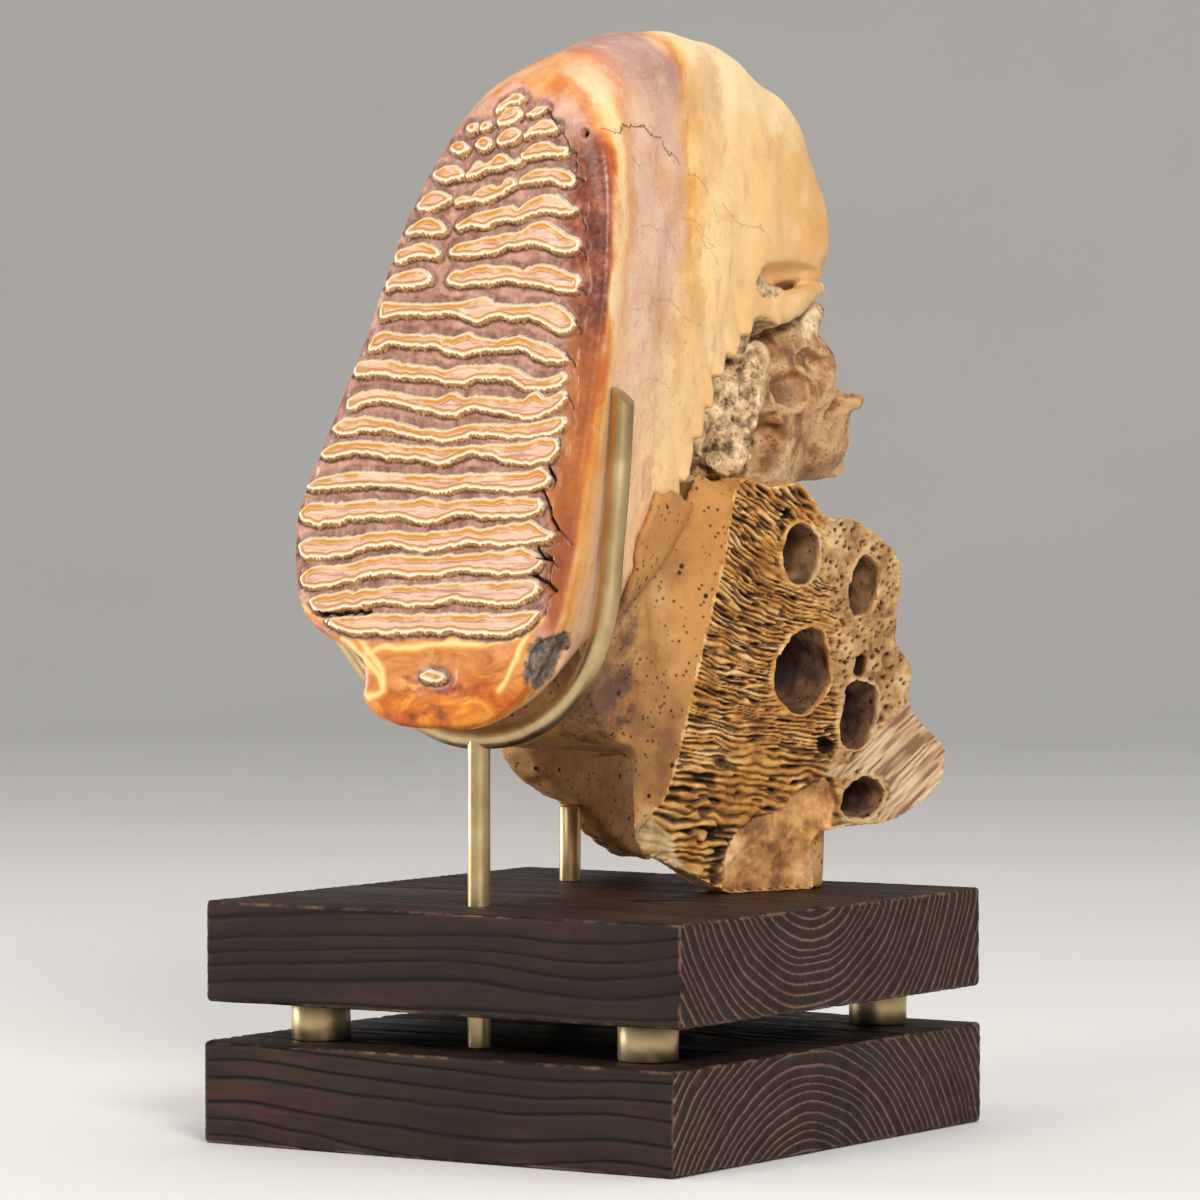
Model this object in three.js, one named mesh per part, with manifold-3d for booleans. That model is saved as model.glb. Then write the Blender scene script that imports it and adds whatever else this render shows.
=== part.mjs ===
// A fossil mammoth molar in a chunk of jaw bone, held on a stand: the tooth stands upright in a brass
// cradle, and the bone rests on the upper of two dark softwood boards kept apart by brass spacers.
// Millimetres. +Z is up, the grinding face looks to -Y, and the origin is under the stand's centre.

import * as THREE from 'three';
import { mergeVertices } from 'three/addons/utils/BufferGeometryUtils.js';
import Module from 'manifold-3d';

const wasm = await Module();
wasm.setup();

// Stand

const LOWER_BOARD = { width: 198, depth: 210, bottom: 0, top: 36.5 };
const UPPER_BOARD = { width: 200, depth: 204.5, bottom: 50, top: 86 };
const BOARD_CORNER = 2;
const BOARD_BEVEL = 1;
const SPACER_RADIUS = 10.5;
const SPACER_PLACES = {
  front_left: [-66, -79],
  front_right: [72, -79],
  back_left: [-68, 79],
  back_right: [70, 79],
};
const ROD_RADIUS = 4;
const GAP = 0.3;
const FRONT_ROD = { x: -4.4, y: -69.8, foot: 14, top: 143.5 };
const REAR_ROD = { x: -46, y: 51, foot: 62, top: 113.5 };

// The cradle bar's centre line, seen from the front: down the right side of the tooth, under it and
// up the left side, where it follows the wider flank.

const CRADLE_PLANE_Y = -69.8;
const CRADLE_LINE = [
  [56, 268], [54, 236], [51.5, 212], [49, 190], [42, 171], [30, 156.5], [13, 147.2], [-4.4, 144.8],
  [-15, 145.6], [-26, 149], [-36.5, 154], [-45.5, 161], [-54, 170], [-63, 181], [-70.5, 194], [-74, 208],
  [-73, 222], [-69, 238], [-62.5, 252], [-56, 266],
];
const CRADLE_TIP_SLANT = 40;
const CRADLE_SIDES = 10;
const CRADLE_STEPS = 40;

// Tooth frame: u to the right, v up along the grinding face, w into the tooth

const TOOTH_FOOT = new THREE.Vector3(0, -97, 148);
const TOOTH_LEAN = THREE.MathUtils.degToRad(6);
const CROWN_DEPTH = 173;
// How far the face's edges are rounded: low down and on its right, and at its top left
const FACE_EDGE_BLEND = 7;
const TOP_EDGE_BLEND = 27;
const FLANK_BLEND = 14;
// How far the flanks draw in towards the back, and over what depth
const NARROWING = 12;
const NARROWING_DEPTH = 45;
// How far the crown's top rises behind the grinding face
const TOP_RISE = 34;

// Outline of the grinding face as (u, v), and profile of the crown from its side as (w, v)

const FACE_OUTLINE = [
  [-8, -2], [10, -1], [24, 7], [33, 16], [40, 28], [45, 42], [49, 61], [51, 80], [53, 100], [56, 133],
  [57.5, 152], [57.5, 168], [56.5, 186], [54, 204], [49, 219], [41, 228.5], [31, 234.5], [18, 236], [4, 232],
  [-9, 225.5], [-22, 213], [-32.3, 196], [-39.3, 178], [-43, 160], [-47.8, 137], [-60, 106.5], [-71.5, 77.5],
  [-72, 66], [-71.3, 54], [-68.4, 43.5], [-63, 36], [-55.5, 31.2], [-46, 26.8], [-39.8, 23.3], [-38.8, 17],
  [-39, 11], [-34, 4.5], [-22, -1],
];
const SIDE_PROFILE = [
  [-12, -3], [12, -3], [22, 6], [34, 27], [55, 50], [70, 64], [88, 88], [97, 108], [108, 130], [124, 144],
  [144, 157], [158, 166], [165, 175], [169, 189], [168, 206], [161, 221], [150, 233], [136, 243],
  [120, 250.5], [104, 259], [88, 260.8], [60, 258], [30, 254], [-12, 244],
];

// Worn enamel plates, each the centre line of its loop from left to right as (u, v), then half its
// height. The last ones are worn into shorter loops.

const PLATES = [
  { line: [[-53.5, 36.9], [-28, 37.2], [0, 38.3], [22, 37.9], [36.5, 41.2]], half: 3.1 },
  { line: [[-61, 43.6], [-45, 45.8], [-18, 47.6], [6, 48.9], [35, 50]], half: 3.3 },
  { line: [[-65, 52.5], [-40, 56.3], [-12, 58], [10, 59.3], [36, 58.6]], half: 3.3 },
  { line: [[-66.5, 63.5], [-42, 65.8], [-14, 66.3], [10, 68.4], [40, 68.6]], half: 3 },
  { line: [[-65.5, 75.2], [-42, 77.4], [-12, 76.9], [10, 78.1], [34.5, 79.5]], half: 3.2 },
  { line: [[-62, 85.3], [-40, 88], [-10, 86.3], [12, 87.3], [37, 89.3]], half: 2.9 },
  { line: [[-57.4, 97], [-35, 98.7], [-9, 96.6], [9, 98.3], [40, 100.4]], half: 2.6 },
  { line: [[-54.2, 105.5], [-33, 106.9], [-8, 103.6], [12, 105.8], [42, 108.2]], half: 2.3 },
  { line: [[-49.6, 114], [-32, 117.3], [-10, 113.9], [8, 115.2], [42, 115.8]], half: 2.6 },
  { line: [[-47, 125.7], [-30, 126.8], [-8, 124.4], [12, 125.6], [41.8, 122.9]], half: 2.5 },
  { line: [[-41.5, 134.7], [-26, 137], [-6, 135], [14, 135.3], [41.5, 130.9]], half: 2.5 },
  { line: [[-38, 147], [-18, 147.7], [2, 147.2], [20, 146.4], [43.5, 141.6]], half: 2.8 },
  { line: [[-35.8, 157], [-26, 158.9], [-18, 158.3]], half: 2.7 },
  { line: [[-10.3, 157.3], [6, 159.3], [26, 158.8], [45, 157]], half: 3 },
  { line: [[-32.4, 166], [-22, 168.4], [-14.4, 167]], half: 2.4 },
  { line: [[-9.8, 167.4], [6, 169.6], [30, 173], [44, 169.2]], half: 3.2 },
  { line: [[-28.6, 174.8], [-19, 177], [-12, 174.7]], half: 2.6 },
  { line: [[-7.3, 176.5], [10, 180.2], [30, 184.1], [42, 180.8]], half: 2.7 },
  { line: [[-24.3, 184], [-16.5, 186.4], [-10.5, 185.6]], half: 2.6 },
  { line: [[-8.6, 185], [5, 188], [16.3, 190.2]], half: 2.4 },
  { line: [[18, 191.5], [28, 194], [40.6, 191.4]], half: 2.4 },
  { line: [[-18, 195], [-12, 195.5], [-5.9, 194]], half: 2.4 },
  { line: [[-4, 195], [6, 198], [17.2, 198.7]], half: 2.1 },
  { line: [[18.4, 200.5], [27.5, 202.7], [36.4, 202]], half: 2.3 },
];
const PLATE_RISE = 1.3;
const ENAMEL = 1.5;

// The smallest loops, as centre, half width and half height
const OVALS = [
  [-6.6, 19.3, 5.2, 1.8], [-8.7, 204.6, 3.3, 2], [1.6, 205.3, 3.2, 2.1], [12.1, 207.7, 5, 2.6],
  [25.6, 210.2, 7.1, 2.5], [12, 214.9, 4.6, 2.9], [23.2, 216.5, 4.3, 1.8], [11.9, 219.8, 5.4, 2.4],
];

// On the face's rounded top left edge, the pattern of the plates slides left and up as it goes
// deeper. Above the lower height it starts to, and above the upper one it does so fully.
const SLIDE = { left: 0.68, up: 0.12, from: 130, full: 170 };

// Root remains, as lumps and the hollows broken into them, and the horn of enamel above them:
// centre, then half sizes, in the stand's frame

const ROOT_LUMPS = [
  [6, 50, 254, 40, 42, 36],
  [20, 76, 268, 27, 28, 26],
  [24, 92, 256, 22, 19, 22],
];
const HORN = [37, 80, 303.5, 6, 17, 4.5];
const ROOT_HOLLOWS = [
  [47, 50, 252, 21, 19, 14],
  [46, 74, 279, 18, 12, 10],
  [46, 92, 255, 19, 13, 14],
];

// Saw cut through the jaw bone: a point on it, the heading of its normal and its tilt from upright

const SAW_POINT = new THREE.Vector3(56, 6.5, 234);
const SAW_HEADING = THREE.MathUtils.degToRad(70);
const SAW_TILT = THREE.MathUtils.degToRad(8);
const SAWN_DEPTH = 66;

// Outline of the sawn face: along the cut, and up it from the saw point

const SAWN_OUTLINE = [
  [0, 0], [-4, -28], [-8, -49], [-13.5, -80], [-18, -104], [-22, -114], [-33, -126], [-21, -139],
  [8, -152], [47, -152], [49, -130], [86, -125], [106, -112], [107, -100], [89, -84], [87, -68],
  [79, -58], [77, -29], [55, -14], [42, -13], [28, -1], [15, -2],
];

// Sockets in the sawn face: along, up, half width, half height, depth

const SOCKETS = [
  [31.4, -26.3, 8.5, 11, 26],
  [61.5, -38, 6.5, 11.5, 22],
  [37, -69, 12.5, 15.5, 30],
  [64.5, -86, 9, 13, 26],
  [70, -117, 10, 8, 22],
];

// Masses of the jaw bone: centre, then half sizes

const JAW_BODY = [1, 25, 186, 61, 71, 49];
const JAW_COLLAR = [35, -14, 196, 14, 46, 44];
const JAW_SHIN = [36, 3, 128, 13, 25, 40];
const JAW_FOOT = [33, 55, 106, 19, 24, 36];

// The jaw bone's left wall: how far left its faces are, and its outline as (y, z)

const LEFT_WALL = { inner: -38.5, outer: -53 };
const LEFT_WALL_OUTLINE = [
  [-12, 158], [6, 147], [20, 128], [39, 118.5], [54, 113.5], [69, 102], [86, 94], [100, 91.5], [100, 190],
  [60, 208], [10, 202], [-14, 180],
];

// The groove up the jaw bone's front, the open arch under it, and its slanting top and underside

const GROOVE = { foot: [47, -18, 86], top: [60, -21, 262], footRadius: 10, topRadius: 25 };
const ARCH = { front: [-7, -70, 104], back: [-7, 130, 98], radius: 34 };
const JAW_TOP = { point: [56, 6.5, 236], outward: [-0.1, 0.38, 0.92] };
const JAW_UNDERSIDE = { point: [27, -20, 105], outward: [-0.118, -0.353, -0.928] };

// Colours of the pieces

const FINISHES = {
  molar: { color: '#d9a878', roughness: 0.45, metalness: 0 },
  bone: { color: '#a9814f', roughness: 0.85, metalness: 0 },
  brass: { color: '#b39a6b', roughness: 0.35, metalness: 1 },
  wood: { color: '#2f2723', roughness: 0.65, metalness: 0 },
};

// Helpers for solids

function solidOf(geometry, matrix = new THREE.Matrix4()) {
  const bare = geometry.clone();
  bare.deleteAttribute('normal');
  bare.deleteAttribute('uv');
  bare.applyMatrix4(matrix);
  const merged = mergeVertices(bare, 1e-4);
  const mesh = new wasm.Mesh({
    numProp: 3,
    vertProperties: new Float32Array(merged.attributes.position.array),
    triVerts: new Uint32Array(merged.index.array),
  });
  return new wasm.Manifold(mesh);
}

function geometryOf(solid) {
  const mesh = solid.getMesh();
  const geometry = new THREE.BufferGeometry();
  geometry.setAttribute('position', new THREE.BufferAttribute(mesh.vertProperties, 3));
  geometry.setIndex(new THREE.BufferAttribute(mesh.triVerts, 1));
  geometry.computeVertexNormals();
  return geometry;
}

function joined(solids) {
  return solids.reduce((whole, solid) => whole.add(solid));
}

function piece(name, solid, finish) {
  const material = new THREE.MeshStandardMaterial(finish);
  const mesh = new THREE.Mesh(geometryOf(solid), material);
  mesh.name = name;
  return mesh;
}

// A closed outline as a three.js shape
function outlineShape(points) {
  return new THREE.Shape(points.map(([x, y]) => new THREE.Vector2(x, y)));
}

function circleShape(radius, sides) {
  const turn = (i) => (i / sides) * 2 * Math.PI;
  const corner = (i) => [radius * Math.cos(turn(i)), radius * Math.sin(turn(i))];
  return outlineShape(Array.from({ length: sides }, (_, i) => corner(i)));
}

function uprightRod(x, y, radius, foot, top, sides = 16) {
  const rod = new THREE.CylinderGeometry(radius, radius, top - foot, sides);
  rod.rotateX(Math.PI / 2);
  rod.translate(x, y, (foot + top) / 2);
  return solidOf(rod);
}

// A rounded lump: a ball whose sides are flattened more, the higher the power
function lump([x, y, z, rx, ry, rz], power = 2, detail = 3) {
  const ball = new THREE.IcosahedronGeometry(1, detail);
  const place = ball.attributes.position;
  const point = new THREE.Vector3();
  for (let i = 0; i < place.count; i += 1) {
    point.fromBufferAttribute(place, i);
    const sum = Math.abs(point.x) ** power + Math.abs(point.y) ** power + Math.abs(point.z) ** power;
    point.multiplyScalar(sum ** (-1 / power));
    place.setXYZ(i, x + rx * point.x, y + ry * point.y, z + rz * point.z);
  }
  return solidOf(ball);
}

// Helpers for grown shapes

// Distance from a point to a closed outline, negative inside it
function outlineDistance(outline, x, y) {
  let nearest = Infinity;
  let inside = false;
  outline.forEach(([ax, ay], i) => {
    const [bx, by] = outline[(i + 1) % outline.length];
    const ex = bx - ax;
    const ey = by - ay;
    const along = THREE.MathUtils.clamp(((x - ax) * ex + (y - ay) * ey) / (ex * ex + ey * ey), 0, 1);
    nearest = Math.min(nearest, Math.hypot(x - ax - ex * along, y - ay - ey * along));
    if (ay > y !== by > y && x < ax + ((y - ay) / ey) * ex) inside = !inside;
  });
  return inside ? -nearest : nearest;
}

// The larger of two distances, rounded where they are nearly the same
function softMax(a, b, blend) {
  const share = THREE.MathUtils.clamp(0.5 + (0.5 * (a - b)) / blend, 0, 1);
  return a * share + b * (1 - share) + blend * share * (1 - share);
}

const { smoothstep } = THREE.MathUtils;

// How far a point of the tooth frame lies outside the crown
function crownDistance(u, v, w) {
  const narrowing = NARROWING * (1 - Math.exp(-Math.max(w, 0) / NARROWING_DEPTH));
  const rise = TOP_RISE * smoothstep(w, -10, 80) * smoothstep(v, 120, 240);
  const front = outlineDistance(FACE_OUTLINE, u, v - rise) + narrowing;
  const side = outlineDistance(SIDE_PROFILE, w, v);
  const rounding = THREE.MathUtils.lerp(FACE_EDGE_BLEND, TOP_EDGE_BLEND, smoothstep(v - 0.5 * u, 150, 225));
  return softMax(softMax(front, side, FLANK_BLEND), -w, rounding);
}

// Tooth

// The crown's surface is laid out in rings, one at each of these depths
const CROWN_SIDES = 38;
const CROWN_RINGS = [0.1, 1.2, 4, 8, 15, 26, 40, 54, 68, 82, 96, 110, 123, 135, 146, 155, 162, 167.5];

// The middle of the crown's section at a depth, as (u, v)
function crownMiddle(depth) {
  const across = THREE.MathUtils.lerp(2, 14, depth / CROWN_DEPTH);
  const up = 128 + 66 * smoothstep(depth, 20, 140);
  return [across, up];
}

// Tooth frame, with its third axis pointing out of the grinding face
function toothMatrix() {
  const across = new THREE.Vector3(1, 0, 0);
  const up = new THREE.Vector3(0, Math.sin(TOOTH_LEAN), Math.cos(TOOTH_LEAN));
  const out = new THREE.Vector3().crossVectors(across, up);
  return new THREE.Matrix4().makeBasis(across, up, out).setPosition(TOOTH_FOOT);
}

// Crown: a ball whose rings are laid round the grinding face, the flanks and the back.
// grow is how far its surface stands out from the crown's own.
function crownSolid(grow) {
  const lastRing = CROWN_RINGS.length + 1;
  const ball = new THREE.SphereGeometry(1, CROWN_SIDES, lastRing);
  const place = ball.attributes.position;
  for (let ring = 0; ring <= lastRing; ring += 1) {
    const isPole = ring === 0 || ring === lastRing;
    const depth = CROWN_RINGS[THREE.MathUtils.clamp(ring - 1, 0, CROWN_RINGS.length - 1)];
    const [middleU, middleV] = crownMiddle(depth);
    for (let i = 0; i <= CROWN_SIDES; i += 1) {
      const turn = ((i % CROWN_SIDES) / CROWN_SIDES) * 2 * Math.PI;
      const du = 0.6 * Math.cos(turn);
      const dv = Math.sin(turn);
      let reach = 0;
      for (let stride = 128; stride > 0.005 && !isPole; stride /= 2) {
        const further = reach + stride;
        const distance = crownDistance(middleU + du * further, middleV + dv * further, depth);
        if (distance < grow) reach = further;
      }
      const index = ring * (CROWN_SIDES + 1) + i;
      const out = ring === 0 ? 4 : -depth;
      place.setXYZ(index, middleU + du * reach, middleV + dv * reach, out);
    }
  }
  return solidOf(ball).subtract(beyond([0, 0, grow], [0, 0, 1]));
}

// A solid made in the tooth frame, set in its place
function inPlace(solid) {
  return solidOf(geometryOf(solid), toothMatrix());
}

// Where a point of the plates' pattern lies on the crown: across, up and how deep
function onCrown(u, v) {
  const share = smoothstep(v, SLIDE.from, SLIDE.full);
  const slid = (depth) => [u - SLIDE.left * share * depth, v + SLIDE.up * share * depth, depth];
  let depth = -2;
  for (let stride = 8; stride > 0.01; stride /= 2) {
    if (crownDistance(...slid(depth + stride)) > 0) depth += stride;
  }
  return slid(depth);
}

// A raised ring of enamel on the grinding face, from its outer and inner outlines
function enamelRing(outer, inner) {
  const shape = outlineShape(outer);
  shape.holes.push(new THREE.Path(inner.map(([x, y]) => new THREE.Vector2(x, y))));
  const ring = new THREE.ExtrudeGeometry(shape, { depth: PLATE_RISE + 3, bevelEnabled: false });
  const place = ring.attributes.position;
  for (let i = 0; i < place.count; i += 1) {
    const [u, v, depth] = onCrown(place.getX(i), place.getY(i));
    place.setXYZ(i, u, v, place.getZ(i) - 3 - depth);
  }
  return solidOf(ring);
}

// One worn plate: a loop drawn round a gently curved centre line, and narrower at its ends
function plateRing({ line, half }) {
  const curve = new THREE.SplineCurve(line.map(([u, v]) => new THREE.Vector2(u, v)));
  const steps = line.length;
  const edge = (inset, side) =>
    Array.from({ length: steps }, (_, i) => {
      const atEnd = i === 0 || i === steps - 1;
      const share = THREE.MathUtils.lerp(0.02 * inset, 1 - 0.02 * inset, i / (steps - 1));
      const { x: u, y: v } = curve.getPoint(share);
      return [u, v + side * (atEnd ? 0.5 : 1) * (half - inset)];
    });
  const loop = (inset) => [...edge(inset, -1), ...edge(inset, 1).reverse()];
  return enamelRing(loop(0), loop(Math.min(ENAMEL, half * 0.6)));
}

function ovalRing([u, v, halfWidth, halfHeight]) {
  const ellipse = (inset) =>
    Array.from({ length: 6 }, (_, i) => {
      const turn = (i / 6) * 2 * Math.PI;
      return [u + (halfWidth - inset) * Math.cos(turn), v + (halfHeight - inset) * Math.sin(turn)];
    });
  return enamelRing(ellipse(0), ellipse(1));
}

// The roots' whole mass, its surface standing out by grow
function rootMass(grow) {
  const grown = ROOT_LUMPS.map(([x, y, z, ...sizes]) => [x, y, z, ...sizes.map((size) => size + grow)]);
  return joined(grown.map((place) => lump(place, 2.6, 2)));
}

function molarSolid() {
  const crown = crownSolid(0);
  const plates = PLATES.map(plateRing);
  const ovals = OVALS.map(ovalRing);
  const hollows = joined(ROOT_HOLLOWS.map((place) => lump(place, 2.2, 2)));
  const toothTop = inPlace(joined([crown, ...plates, ...ovals]));
  return joined([toothTop, lump(HORN), rootMass(0).subtract(hollows)]);
}

// Jaw bone

// Frame of the saw cut: along it, up it, and out of the bone
function sawMatrix() {
  const out = new THREE.Vector3(
    Math.sin(SAW_HEADING) * Math.cos(SAW_TILT),
    -Math.cos(SAW_HEADING) * Math.cos(SAW_TILT),
    -Math.sin(SAW_TILT),
  );
  const along = new THREE.Vector3(Math.cos(SAW_HEADING), Math.sin(SAW_HEADING), 0);
  const up = new THREE.Vector3().crossVectors(out, along);
  return new THREE.Matrix4().makeBasis(along, up, out).setPosition(SAW_POINT);
}

// The block behind the sawn face, drawn in towards its back
function sawnBlock() {
  const settings = { depth: SAWN_DEPTH, steps: 3, bevelEnabled: false };
  const block = new THREE.ExtrudeGeometry(outlineShape(SAWN_OUTLINE), settings);
  block.translate(0, 0, -SAWN_DEPTH);
  const place = block.attributes.position;
  for (let i = 0; i < place.count; i += 1) {
    const share = (-place.getZ(i) / SAWN_DEPTH) ** 1.6;
    const pull = 0.3 * share;
    place.setX(i, place.getX(i) + pull * (40 - place.getX(i)));
    place.setY(i, place.getY(i) + pull * (-80 - place.getY(i)));
  }
  return solidOf(block, sawMatrix());
}

function leftWall() {
  const settings = { depth: LEFT_WALL.inner - LEFT_WALL.outer, bevelEnabled: false };
  const wall = new THREE.ExtrudeGeometry(outlineShape(LEFT_WALL_OUTLINE), settings);
  const back = new THREE.Vector3(0, 1, 0);
  const up = new THREE.Vector3(0, 0, 1);
  const right = new THREE.Vector3(1, 0, 0);
  const matrix = new THREE.Matrix4().makeBasis(back, up, right).setPosition(LEFT_WALL.outer, 0, 0);
  return solidOf(wall, matrix);
}

const UNIT = new THREE.Vector3(1, 1, 1);

// A round bar or cone between two points
function barBetween(start, end, startRadius, endRadius = startRadius) {
  const from = new THREE.Vector3(...start);
  const to = new THREE.Vector3(...end);
  const bar = new THREE.CylinderGeometry(endRadius, startRadius, from.distanceTo(to), 24);
  const turn = new THREE.Quaternion().setFromUnitVectors(
    new THREE.Vector3(0, 1, 0),
    new THREE.Vector3().subVectors(to, from).normalize(),
  );
  const middle = new THREE.Vector3().addVectors(from, to).multiplyScalar(0.5);
  return solidOf(bar, new THREE.Matrix4().compose(middle, turn, UNIT));
}

// A block that takes away everything beyond a plane
function beyond(point, outward) {
  const block = new THREE.BoxGeometry(600, 600, 400);
  block.translate(0, 0, 200);
  const normal = new THREE.Vector3(...outward).normalize();
  const turn = new THREE.Quaternion().setFromUnitVectors(new THREE.Vector3(0, 0, 1), normal);
  return solidOf(block, new THREE.Matrix4().compose(new THREE.Vector3(...point), turn, UNIT));
}

function socket([along, up, halfWidth, halfHeight, depth]) {
  const hollow = new THREE.IcosahedronGeometry(1, 2);
  hollow.scale(halfWidth, halfHeight, depth);
  hollow.translate(along, up, 0);
  return solidOf(hollow, sawMatrix());
}

// A flat-topped slot cut into the left wall's lower edge from the left, for the rear rod
function rodSeat() {
  const room = ROD_RADIUS + GAP;
  const height = 20;
  const seat = new THREE.BoxGeometry(2 * room + 10, 2 * room, height);
  seat.translate(REAR_ROD.x - 5, REAR_ROD.y, REAR_ROD.top + GAP - height / 2);
  return solidOf(seat);
}

function jawSolid() {
  const masses = joined([
    lump(JAW_BODY, 4, 4),
    lump(JAW_COLLAR, 3),
    lump(JAW_SHIN, 3),
    lump(JAW_FOOT, 4),
    leftWall(),
  ]);
  const bone = masses.subtract(beyond(JAW_TOP.point, JAW_TOP.outward)).add(sawnBlock());
  const sawnOut = new THREE.Vector3(0, 0, 1).transformDirection(sawMatrix());
  const cuts = joined([
    beyond(SAW_POINT.toArray(), sawnOut.toArray()),
    beyond(JAW_UNDERSIDE.point, JAW_UNDERSIDE.outward),
    beyond([0, 0, UPPER_BOARD.top], [0, 0, -1]),
    barBetween(GROOVE.foot, GROOVE.top, GROOVE.footRadius, GROOVE.topRadius),
    barBetween(ARCH.front, ARCH.back, ARCH.radius),
    inPlace(crownSolid(2 * GAP)),
    rootMass(2 * GAP),
    rodSeat(),
    ...SOCKETS.map(socket),
  ]);
  return bone.subtract(cuts);
}

// Stand pieces

function boardSolid({ width, depth, bottom, top }) {
  const x = width / 2 - BOARD_CORNER;
  const y = depth / 2 - BOARD_CORNER;
  const shape = new THREE.Shape();
  shape.absarc(x, y, BOARD_CORNER, 0, Math.PI / 2);
  shape.absarc(-x, y, BOARD_CORNER, Math.PI / 2, Math.PI);
  shape.absarc(-x, -y, BOARD_CORNER, Math.PI, 1.5 * Math.PI);
  shape.absarc(x, -y, BOARD_CORNER, 1.5 * Math.PI, 2 * Math.PI);
  const board = new THREE.ExtrudeGeometry(shape, {
    depth: top - bottom - 2 * BOARD_BEVEL,
    bevelSize: BOARD_BEVEL,
    bevelThickness: BOARD_BEVEL,
    bevelOffset: -BOARD_BEVEL,
    bevelSegments: 1,
    curveSegments: 3,
  });
  board.translate(0, 0, bottom + BOARD_BEVEL);
  return solidOf(board);
}

function boredFor(board, rod) {
  return board.subtract(uprightRod(rod.x, rod.y, ROD_RADIUS + GAP, rod.foot - GAP, rod.foot + 200));
}

function spacerSolid([x, y]) {
  const low = LOWER_BOARD.top;
  const high = UPPER_BOARD.bottom;
  const profile = [
    [0, low], [SPACER_RADIUS - 0.6, low], [SPACER_RADIUS, low + 0.6],
    [SPACER_RADIUS, high - 0.6], [SPACER_RADIUS - 0.6, high], [0, high],
  ];
  const spacer = new THREE.LatheGeometry(profile.map(([r, z]) => new THREE.Vector2(r, z)), 18);
  spacer.rotateX(Math.PI / 2);
  spacer.translate(x, y, 0);
  return solidOf(spacer);
}

// The bent bar, at a given radius
function cradleBar(radius) {
  const points = CRADLE_LINE.map(([x, z]) => new THREE.Vector3(x, CRADLE_PLANE_Y, z));
  const path = new THREE.CatmullRomCurve3(points, false, 'centripetal');
  const settings = { extrudePath: path, steps: CRADLE_STEPS, bevelEnabled: false };
  const bar = new THREE.ExtrudeGeometry(circleShape(radius, CRADLE_SIDES), settings);
  return solidOf(bar);
}

function cradleSolid() {
  const slant = THREE.MathUtils.degToRad(CRADLE_TIP_SLANT);
  const [tipX, tipZ] = CRADLE_LINE[0];
  const rightTip = beyond([tipX, CRADLE_PLANE_Y, tipZ - 4], [Math.sin(slant), 0, Math.cos(slant)]);
  return cradleBar(ROD_RADIUS).subtract(rightTip);
}

function frontRodSolid() {
  const { x, y, foot, top } = FRONT_ROD;
  return uprightRod(x, y, ROD_RADIUS, foot, top).subtract(cradleBar(ROD_RADIUS + GAP));
}

function rearRodSolid() {
  const { x, y, foot, top } = REAR_ROD;
  return uprightRod(x, y, ROD_RADIUS, foot, top);
}

// The whole object

function buildObject() {
  const upperBoard = boredFor(boredFor(boardSolid(UPPER_BOARD), FRONT_ROD), REAR_ROD);
  const lowerBoard = boredFor(boardSolid(LOWER_BOARD), FRONT_ROD);
  const object = new THREE.Group();
  object.add(piece('molar', molarSolid(), FINISHES.molar));
  object.add(piece('jaw_bone', jawSolid(), FINISHES.bone));
  object.add(piece('cradle', cradleSolid(), FINISHES.brass));
  object.add(piece('front_rod', frontRodSolid(), FINISHES.brass));
  object.add(piece('rear_rod', rearRodSolid(), FINISHES.brass));
  object.add(piece('upper_board', upperBoard, FINISHES.wood));
  object.add(piece('lower_board', lowerBoard, FINISHES.wood));
  Object.entries(SPACER_PLACES).forEach(([corner, place]) => {
    object.add(piece(`spacer_${corner}`, spacerSolid(place), FINISHES.brass));
  });
  return object;
}

export default buildObject();
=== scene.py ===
import math

import bpy
import numpy as np
from mathutils import Matrix, Vector


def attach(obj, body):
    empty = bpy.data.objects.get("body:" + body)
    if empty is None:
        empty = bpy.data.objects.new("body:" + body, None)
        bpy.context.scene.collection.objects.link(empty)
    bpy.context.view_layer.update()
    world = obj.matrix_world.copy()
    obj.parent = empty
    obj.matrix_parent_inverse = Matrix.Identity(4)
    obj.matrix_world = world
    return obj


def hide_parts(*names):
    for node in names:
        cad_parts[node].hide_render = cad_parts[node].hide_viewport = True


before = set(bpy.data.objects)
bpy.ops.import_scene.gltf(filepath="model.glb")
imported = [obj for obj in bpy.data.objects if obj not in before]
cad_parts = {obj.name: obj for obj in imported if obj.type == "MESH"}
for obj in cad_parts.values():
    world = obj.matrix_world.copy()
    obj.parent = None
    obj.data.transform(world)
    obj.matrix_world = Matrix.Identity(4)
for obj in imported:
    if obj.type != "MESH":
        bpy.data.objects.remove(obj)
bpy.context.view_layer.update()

MM = 0.001

# Camera, floor and light


# The photo's view: where the camera stands, in millimetres from the point it looks at
VIEW_HEADING, VIEW_PITCH = math.radians(33.17), math.radians(1.46)
VIEW_DISTANCE, VIEW_AIM_RIGHT, VIEW_AIM_UP = 2156.5, 0.53, 191.67
LENS, SENSOR = 180, 36


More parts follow.
